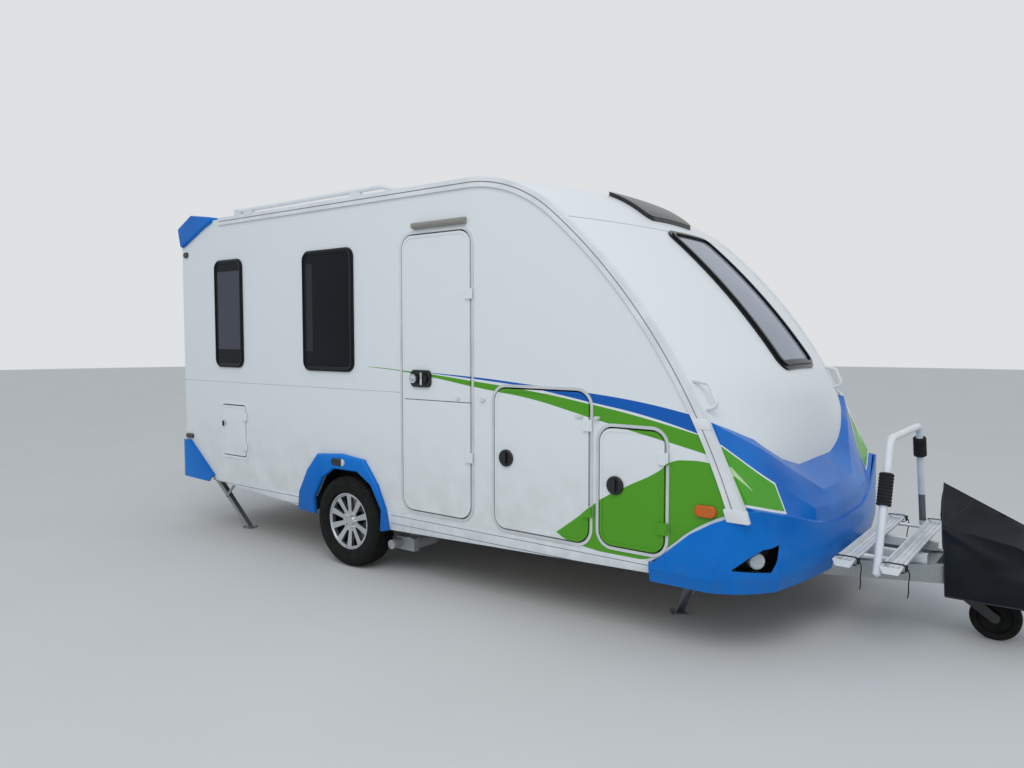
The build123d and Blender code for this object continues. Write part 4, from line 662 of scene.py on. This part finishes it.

# Silver and satin on the spokes' faces, near-black and dull further in as painted shade.
alloy, tree, shader, place = new_finish("Lacquered alloy wheel, painted shade inside", Roughness=0.3)
across = add(tree, "SeparateXYZ", {0: place}).outputs["Y"]
aside = add(tree, "Math", {0: across}, operation="ABSOLUTE").outputs[0]
WHEEL_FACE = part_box("rim_left")[1][1]
# Deeper in than the spokes' faces the rim turns near-black and not metallic: painted shade.
face = add(tree, "MapRange", {"Value": aside, "From Min": WHEEL_FACE - 0.034, "From Max": WHEEL_FACE - 0.026})
tree.links.new(face.outputs[0], shader.inputs["Metallic"])
tree.links.new(painted(tree, colour("#111213"), (colour("#CDD0D3"), face.outputs[0])),
               shader.inputs["Base Color"])
bumped(tree, shader, mottle(tree, place, 40.0, 0.0, 1.0), 0.0002)
dress(alloy, "rim_right", "rim_left")

AXLE_X = -0.913
TYRE_R = 0.3075
SECTION_R = 0.2445      # from the axle to the middle of the tyre's section
HALF_HEIGHT = 0.0545    # of the section, from bead to tread
HALF_WIDTH = 0.0905
middle_y = sum(corner[1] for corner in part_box("tyre_right")) / 2
tyre = start(bpy.ops.mesh.primitive_circle_add, "tyre_right_tread", vertices=20, radius=1.0,
             location=(AXLE_X, middle_y, TYRE_R + SECTION_R), rotation=(0, math.pi / 2, 0),
             scale=(HALF_HEIGHT, HALF_WIDTH, 1.0))
bpy.ops.object.mode_set(mode="OBJECT")
for point in tyre.data.vertices:
    across, up = point.co.y - middle_y, point.co.z - TYRE_R - SECTION_R
    turn = math.atan2(up / HALF_HEIGHT, across / HALF_WIDTH)
    wide = math.copysign(abs(math.cos(turn)) ** 0.55, math.cos(turn))
    high = math.copysign(abs(math.sin(turn)) ** 0.45, math.sin(turn))
    point.co.y = middle_y + HALF_WIDTH * wide
    point.co.z = TYRE_R + SECTION_R + HALF_HEIGHT * high
bpy.ops.object.mode_set(mode="EDIT")
bpy.ops.mesh.select_all(action="SELECT")
bpy.ops.mesh.spin(steps=60, angle=2 * math.pi, center=(AXLE_X, middle_y, TYRE_R), axis=(0, 1, 0))
bpy.ops.mesh.select_all(action="SELECT")
bpy.ops.mesh.remove_doubles(threshold=0.0003)
bpy.ops.mesh.normals_make_consistent(inside=False)


def on_tread(middle, normal):
    """Whether a face looks outwards from the wheel's rolling surface."""
    away = Vector((middle.x - AXLE_X, 0, middle.z - TYRE_R))
    return away.length > 0.290 and normal.dot(away.normalized()) > 0.85


pick(tyre, "faces", on_tread)
bpy.ops.mesh.inset(thickness=0.0035, depth=0.0075, use_individual=True)
for ring_low, ring_high, rise in ((0.262, 0.276, 0.0014), (0.212, 0.222, 0.0018)):
    pick(tyre, "faces", lambda middle, normal: abs(normal.y) > 0.5
         and ring_low < Vector((middle.x - AXLE_X, middle.z - TYRE_R)).length < ring_high)
    bpy.ops.mesh.inset(thickness=0.002, depth=rise)
tyre = close(tyre, rubber, "wheel_right", smooth=30)
left_tyre = copied(tyre, "tyre_left_tread", Matrix.Scale(-1, 4, (0, 1, 0)))
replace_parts(tyre, "tyre_right")
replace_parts(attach(left_tyre, "wheel_left"), "tyre_left")


# Wheel bolts: five hexagon heads on each rim, forged steel with a bright plating,
# tightened round the hub. One ring is made, and the left is its mirror image.

BOLT_CIRCLE_R = 0.044
bolts = []
for number in range(5):
    angle = 2 * math.pi * number / 5
    bolt = start(bpy.ops.mesh.primitive_circle_add, "bolt", vertices=6, radius=0.0085, fill_type="NGON",
                 location=(AXLE_X + BOLT_CIRCLE_R * math.cos(angle), -1.148,
                           TYRE_R + BOLT_CIRCLE_R * math.sin(angle)),
                 rotation=(math.pi / 2, 0, 0))
    bpy.ops.mesh.select_all(action="SELECT")
    push(0, -0.006, 0)
    bpy.ops.mesh.inset(thickness=0.003, depth=0.001)
    bpy.ops.mesh.select_all(action="SELECT")
    bpy.ops.mesh.normals_make_consistent(inside=False)
    bpy.ops.object.mode_set(mode="OBJECT")
    bolts.append(bolt)
right_bolts = close(joined(bolts, "wheel_bolts_right"), chrome, "wheel_right", soften=0.0006)
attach(copied(right_bolts, "wheel_bolts_left", Matrix.Scale(-1, 4, (0, 1, 0))), "wheel_left")


# Bicycle rack: two extruded channels with clear nylon end caps, bolted across the drawbar,
# and a hoop of bent steel tube, powder-coated white, clamped behind the front channel.

# Pale silver with a little metal shine, and milky nylon beyond its ends.
channel_alloy, tree, shader, place = new_finish("Anodised channel with clear end caps", Roughness=0.35)
across = add(tree, "SeparateXYZ", {0: place}).outputs["Y"]
inner = between(tree, across, -0.636, 0.636)
shine = add(tree, "Math", {0: inner, 1: 0.25}, operation="MULTIPLY").outputs[0]
tree.links.new(shine, shader.inputs["Metallic"])
tint = painted(tree, colour("#CED2D6"), (colour("#E0E4E7"), mottle(tree, place, 10.0, 0.0, 1.0)))
tree.links.new(painted(tree, colour("#E3E7E8"), (tint, inner)), shader.inputs["Base Color"])
dress(channel_alloy, "rack_rails")

# White and satin, with a grey sleeve low on the left leg.
hoop_coat, tree, shader, place = new_finish("White powder coat, bare grey low on the far leg", Roughness=0.3)
y, z = add(tree, "SeparateXYZ", {0: place}).outputs[1:]
bare = product(tree, between(tree, y, 0.3, 0.7), between(tree, z, 0.447, 0.614))
tint = painted(tree, colour("#D9DDE1"), (colour("#E6E9EC"), mottle(tree, place, 9.0, 0.0, 1.0)),
               (colour("#65686C"), bare))
tree.links.new(tint, shader.inputs["Base Color"])
dress(hoop_coat, "rack_hoop")


# Rack straps: black webbing pulled round each channel's ends and held by a cam buckle.
# The loose end of each hangs under its buckle.

# Black and dull, with the grain of its weave at 1.6 mm.
webbing = plastic("Black polypropylene webbing", "#0F1012", "#1C1D1F", 0.75, 0.0016, 0.0004)
CHANNELS = (2.127, 2.343)
STRAP_Y = 0.575


def strap():
    """A strap round a channel at the origin, with its cam buckle on the front side."""
    loop = start(bpy.ops.mesh.primitive_cube_add, "strap_loop", size=1.0, location=(0, 0, 0.441),
                 scale=(0.102, 0.022, 0.038))
    pick(loop, "edges", lambda middle, run: abs(run.y) > 0.9)
    bpy.ops.mesh.bevel(offset=0.012, segments=4, affect="EDGES")
    pick(loop, "faces", lambda middle, normal: abs(normal.y) > 0.9)
    bpy.ops.mesh.delete(type="FACE")
    bpy.ops.object.mode_set(mode="OBJECT")
    modify(loop, "SOLIDIFY", thickness=0.0018, offset=1.0)
    buckle = start(bpy.ops.mesh.primitive_cube_add, "strap_buckle", size=1.0, location=(0.055, 0, 0.445),
                   scale=(0.009, 0.030, 0.030))
    pick(buckle, "faces", lambda middle, normal: normal.x > 0.9)
    bpy.ops.mesh.inset(thickness=0.005)
    push(-0.003, 0, 0)
    bpy.ops.object.mode_set(mode="OBJECT")
    modify(buckle, "BEVEL", width=0.0015, segments=2)
    return joined([loop, buckle], "strap")


def strap_tail(number, x, y):
    """The elastic cord end that hangs from a buckle."""
    swing = 0.012 if y < 0 else -0.012
    points = [(0.057, 0.0, 0.444), (0.066, 0.0, 0.438), (0.070, swing * 0.3, 0.405), (0.062, swing, 0.365),
              (0.064, swing * 2.0, 0.330), (0.058, swing * 2.4, 0.295)]
    curve = bpy.data.curves.new("strap_tail", "CURVE")
    curve.dimensions = "3D"
    spline = curve.splines.new("NURBS")
    spline.points.add(len(points) - 1)
    for point, (dx, dy, z) in zip(spline.points, points):
        point.co = (x + dx, y + dy, z, 1.0)
    spline.order_u = 3
    spline.use_endpoint_u = True
    curve.bevel_depth = 0.0028
    curve.bevel_resolution = 3
    curve.use_fill_caps = True
    tail = bpy.data.objects.new(f"strap_tail_{number}", curve)
    scene.collection.objects.link(tail)
    curve.materials.append(webbing)
    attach(tail, "caravan_body")


one_strap = strap()
straps = []
for channel in CHANNELS:
    for y in (-STRAP_Y, STRAP_Y):
        straps.append(copied(one_strap, "strap_copy", Matrix.Translation((channel, y, 0))))
        strap_tail(len(straps), channel, y)
bpy.data.objects.remove(one_strap)
close(joined(straps, "rack_straps"), webbing, "caravan_body")


# Foam sleeves: closed-cell foam tube, moulded with rings and slit to clip on the hoop's
# legs, where the bicycle frames lean. The right sleeve sits lower than the left.

# Black, quite without gloss, faintly pitted.
foam = plastic("Closed-cell foam, black", "#0E0F11", "#1D1E20", 0.9, 0.002, 0.0006)
FOOT = Vector((2.270, 0.592, 0.396))
SHOULDER = Vector((2.270, 0.372, 1.036))


def sleeve(side, low, high):
    """Ringed foam sleeve on one leg of the hoop, between two shares of the leg."""
    length = (SHOULDER - FOOT).length * (high - low)
    piece = start(bpy.ops.mesh.primitive_circle_add, "sleeve", vertices=32, radius=0.0315, fill_type="NGON")
    bpy.ops.mesh.select_all(action="SELECT")
    rings = round(length / 0.017)
    for ring in range(rings):
        for rise, grow in ((0.16, 1.12), (0.56, 1.0), (0.16, 1 / 1.12), (0.12, 1.0)):
            push(0, 0, rise * length / rings)
            bpy.ops.transform.resize(value=(grow, grow, 1.0))
    bpy.ops.mesh.select_all(action="SELECT")
    bpy.ops.mesh.normals_make_consistent(inside=False)
    bpy.ops.object.mode_set(mode="OBJECT")
    lean = math.atan2(FOOT.y - SHOULDER.y, SHOULDER.z - FOOT.z)
    foot = Vector((FOOT.x, side * FOOT.y, FOOT.z))
    top = Vector((SHOULDER.x, side * SHOULDER.y, SHOULDER.z))
    turn = Matrix.Rotation(side * lean, 4, "X")
    return placed(piece, Matrix.Translation(foot + (top - foot) * low) @ turn)


sleeves = close(joined([sleeve(-1, 0.50, 0.74), sleeve(1, 0.72, 0.89)], "rack_sleeves"), foam, "caravan_body",
                soften=0.0012)
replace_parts(sleeves, "rack_pads")


# Hitch cover: vinyl-coated polyester, sewn from panels over the coupling with piped
# seams, open below and behind. It hangs from the jockey wheel's crank and the lever.

# Blue-black with a soft sheen; its weave is drawn at 4 mm so that it shows.
vinyl, tree, shader, place = new_finish("Vinyl-coated polyester", Roughness=0.42, Specular_IOR_Level=0.22)
tree.links.new(painted(tree, colour("#080D13"), (colour("#141C26"), mottle(tree, place, 6.0, 0.0, 1.0))),
               shader.inputs["Base Color"])
weave = add(tree, "TexWave", {"Vector": place, "Scale": 160.0}, bands_direction="DIAGONAL")
bumped(tree, shader, weave.outputs[0], 0.0003)

# Height of the cover's ridge and of its eaves at three stations along X, in metres.
RIDGE = {2.461: 0.780, 2.821: 0.606, 2.990: 0.466}
EAVES = {2.461: 0.600, 2.821: 0.540, 2.990: 0.436}
cover = start(bpy.ops.mesh.primitive_cube_add, "hitch_cover_cloth", size=1.0, location=(2.7255, 0, 0.503),
              scale=(0.529, 0.376, 0.554))
pick(cover, "faces", lambda middle, normal: normal.z < -0.9)
bpy.ops.mesh.delete(type="FACE")
for point, normal in (((0, 0, 0), (0, 1, 0)), ((2.821, 0, 0), (1, 0, 0)), ((0, 0, 0.47), (0, 0, 1))):
    bpy.ops.mesh.select_all(action="SELECT")
    bpy.ops.mesh.bisect(plane_co=point, plane_no=normal)
pick(cover, "faces", lambda middle, normal: normal.x < -0.9 and middle.z < 0.47)
bpy.ops.mesh.delete(type="FACE")
bpy.ops.object.mode_set(mode="OBJECT")
# The net's points go to the ridge, the eaves, the raked back and the blunt nose.
for point in cover.data.vertices:
    station = min(RIDGE, key=lambda x: abs(x - point.co.x))
    if point.co.z > 0.7:
        line = EAVES if abs(point.co.y) > 0.1 else RIDGE
        point.co.z = line[station]
        if line is EAVES and station < 2.5:
            point.co.x = 2.485
    elif point.co.z < 0.3 and station < 2.5:
        point.co.x = 2.508
    elif point.co.z > 0.4 and station < 2.5:
        point.co.x = 2.498 if abs(point.co.y) > 0.1 else 2.486
    elif point.co.z > 0.4 and station > 2.9:
        point.co.z = 0.40
bpy.ops.object.mode_set(mode="EDIT")
bpy.ops.mesh.select_all(action="SELECT")
bpy.ops.mesh.subdivide(number_cuts=9)
bpy.ops.object.mode_set(mode="OBJECT")
before = [point.co.copy() for point in cover.data.vertices]


def on_seam(place):
    """Whether a point of the cover lies on its ridge, an upright corner or the hem."""
    on_side = abs(place.y) > 0.186
    ridge = abs(place.y) < 0.004 and place.z > 0.45
    front_corner = on_side and abs(place.x - 2.99) < 0.003
    rear_corner = on_side and place.x < 2.512
    hem = place.z < 0.235
    return ridge or front_corner or rear_corner or hem


pins = cover.vertex_groups.new(name="seams")
for number, place_now in enumerate(before):
    if on_seam(place_now):
        pins.add([number], 1.0, "REPLACE")
cloth = cover.modifiers.new("cloth", "CLOTH")
cloth.settings.quality = 6
cloth.settings.mass = 0.5
cloth.settings.tension_stiffness = 60.0
cloth.settings.compression_stiffness = 60.0
cloth.settings.shear_stiffness = 30.0
cloth.settings.bending_stiffness = 8.0
cloth.settings.vertex_group_mass = "seams"
cloth.settings.shrink_min = -0.02
cloth.collision_settings.use_self_collision = False
for moment in range(1, 21):
    scene.frame_set(moment)
bpy.context.view_layer.objects.active = cover
bpy.ops.object.modifier_apply(modifier="cloth")
DEEPEST_FOLD = 0.012
for point, was in zip(cover.data.vertices, before):
    moved = point.co - was
    if moved.length > DEEPEST_FOLD:
        point.co = was + moved.normalized() * DEEPEST_FOLD
cover.vertex_groups.clear()
cover_tree = BVHTree.FromPolygons([p.co for p in cover.data.vertices],
                                  [tuple(face.vertices) for face in cover.data.polygons])


def piping(corners, radius):
    """A piped seam that lies on the cover along straight runs between corners."""
    curve = bpy.data.curves.new("piping", "CURVE")
    curve.dimensions = "3D"
    spline = curve.splines.new("POLY")
    route = []
    for first, last in zip(corners, corners[1:]):
        for step in range(12):
            route.append(Vector(first).lerp(Vector(last), step / 12))
    route.append(Vector(corners[-1]))
    spline.points.add(len(route) - 1)
    for point, place_now in zip(spline.points, route):
        point.co = (*cover_tree.find_nearest(place_now)[0], 1.0)
    curve.bevel_depth = radius
    curve.bevel_resolution = 2
    curve.use_fill_caps = True
    made = bpy.data.objects.new("piping", curve)
    scene.collection.objects.link(made)
    bpy.ops.object.select_all(action="DESELECT")
    made.select_set(True)
    bpy.context.view_layer.objects.active = made
    bpy.ops.object.convert(target="MESH")
    return bpy.context.object


seams = [piping([(2.461, 0, 0.780), (2.821, 0, 0.606), (2.990, 0, 0.466), (2.990, 0, 0.23)], 0.0022)]
for side in (-0.188, 0.188):
    seams.append(piping([(2.461, 0, 0.780), (2.485, side, 0.600), (2.508, side, 0.230)], 0.0028))
    seams.append(piping([(2.486, side, 0.585), (2.585, side * 0.35, 0.700), (2.600, 0, 0.715)], 0.0020))
    seams.append(piping([(2.508, side, 0.232), (2.990, side, 0.232), (2.990, 0, 0.232)], 0.0034))
close(joined(seams, "hitch_cover_piping"), plastic("Black piping", "#15181D", "#22262C", 0.4, 0.003, 0.0002),
      "cover")
bpy.ops.object.select_all(action="DESELECT")
cover.select_set(True)
bpy.context.view_layer.objects.active = cover
modify(cover, "SOLIDIFY", thickness=0.0016, offset=-1.0)
close(cover, vinyl, "cover", smooth=50)
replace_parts(cover, "hitch_cover")


# Studio: a pale matt floor under an even soft sky, and one wide soft lamp high behind
# the camera. The sky shows as a pale backdrop to the camera, in gloss and in glass.

bpy.ops.object.select_all(action="DESELECT")
bpy.ops.mesh.primitive_circle_add(vertices=96, radius=40.0, fill_type="NGON", location=(0, 0, 0))
ground = bpy.context.object
ground.name = "studio_floor"
floor_finish, tree, shader, place = new_finish("Pale studio floor", Roughness=0.9)
tree.links.new(painted(tree, colour("#CECFCE"), (colour("#D1D2D1"), mottle(tree, place, 0.8, 0.0, 1.0))),
               shader.inputs["Base Color"])
ground.data.materials.append(floor_finish)

world = bpy.data.worlds.new("studio")
scene.world = world
world.use_nodes = True
tree = world.node_tree
tree.nodes.clear()
rays = add(tree, "LightPath")
seen = add(tree, "Math", {0: rays.outputs["Is Camera Ray"], 1: rays.outputs["Is Glossy Ray"]},
           operation="ADD")
seen = add(tree, "Math", {0: seen.outputs[0], 1: rays.outputs["Is Transmission Ray"]}, operation="ADD",
           use_clamp=True)
sky = add(tree, "Background", {"Color": colour("#DDE4EA"), "Strength": 0.86})
backdrop = add(tree, "Background", {"Color": colour("#E4E6E7"), "Strength": 0.95})
both_skies = add(tree, "MixShader", {0: seen.outputs[0], 1: sky.outputs[0], 2: backdrop.outputs[0]})
add(tree, "OutputWorld", {"Surface": both_skies.outputs[0]})

bpy.ops.object.light_add(type="AREA", location=(3.5, -6.5, 7.5))
lamp = bpy.context.object
lamp.data.shape = "DISK"
lamp.data.size = 6.0
lamp.data.energy = 250.0
lamp.rotation_euler = (Vector((0.0, 0.0, 0.8)) - lamp.location).to_track_quat("-Z", "Y").to_euler()

bpy.ops.object.camera_add(location=(3.131, -4.628, 1.545))
camera = bpy.context.object
right = Vector((0.7944, 0.6074, 0.0)).normalized()
back = Vector((0.6063, -0.7930, 0.0594)).normalized()
up = back.cross(right).normalized()
camera.matrix_world = Matrix.Translation(camera.location) @ Matrix((right, up, back)).transposed().to_4x4()
camera.data.sensor_width = 36.0
camera.data.lens = 27.48
camera.data.clip_end = 200.0
scene.camera = camera
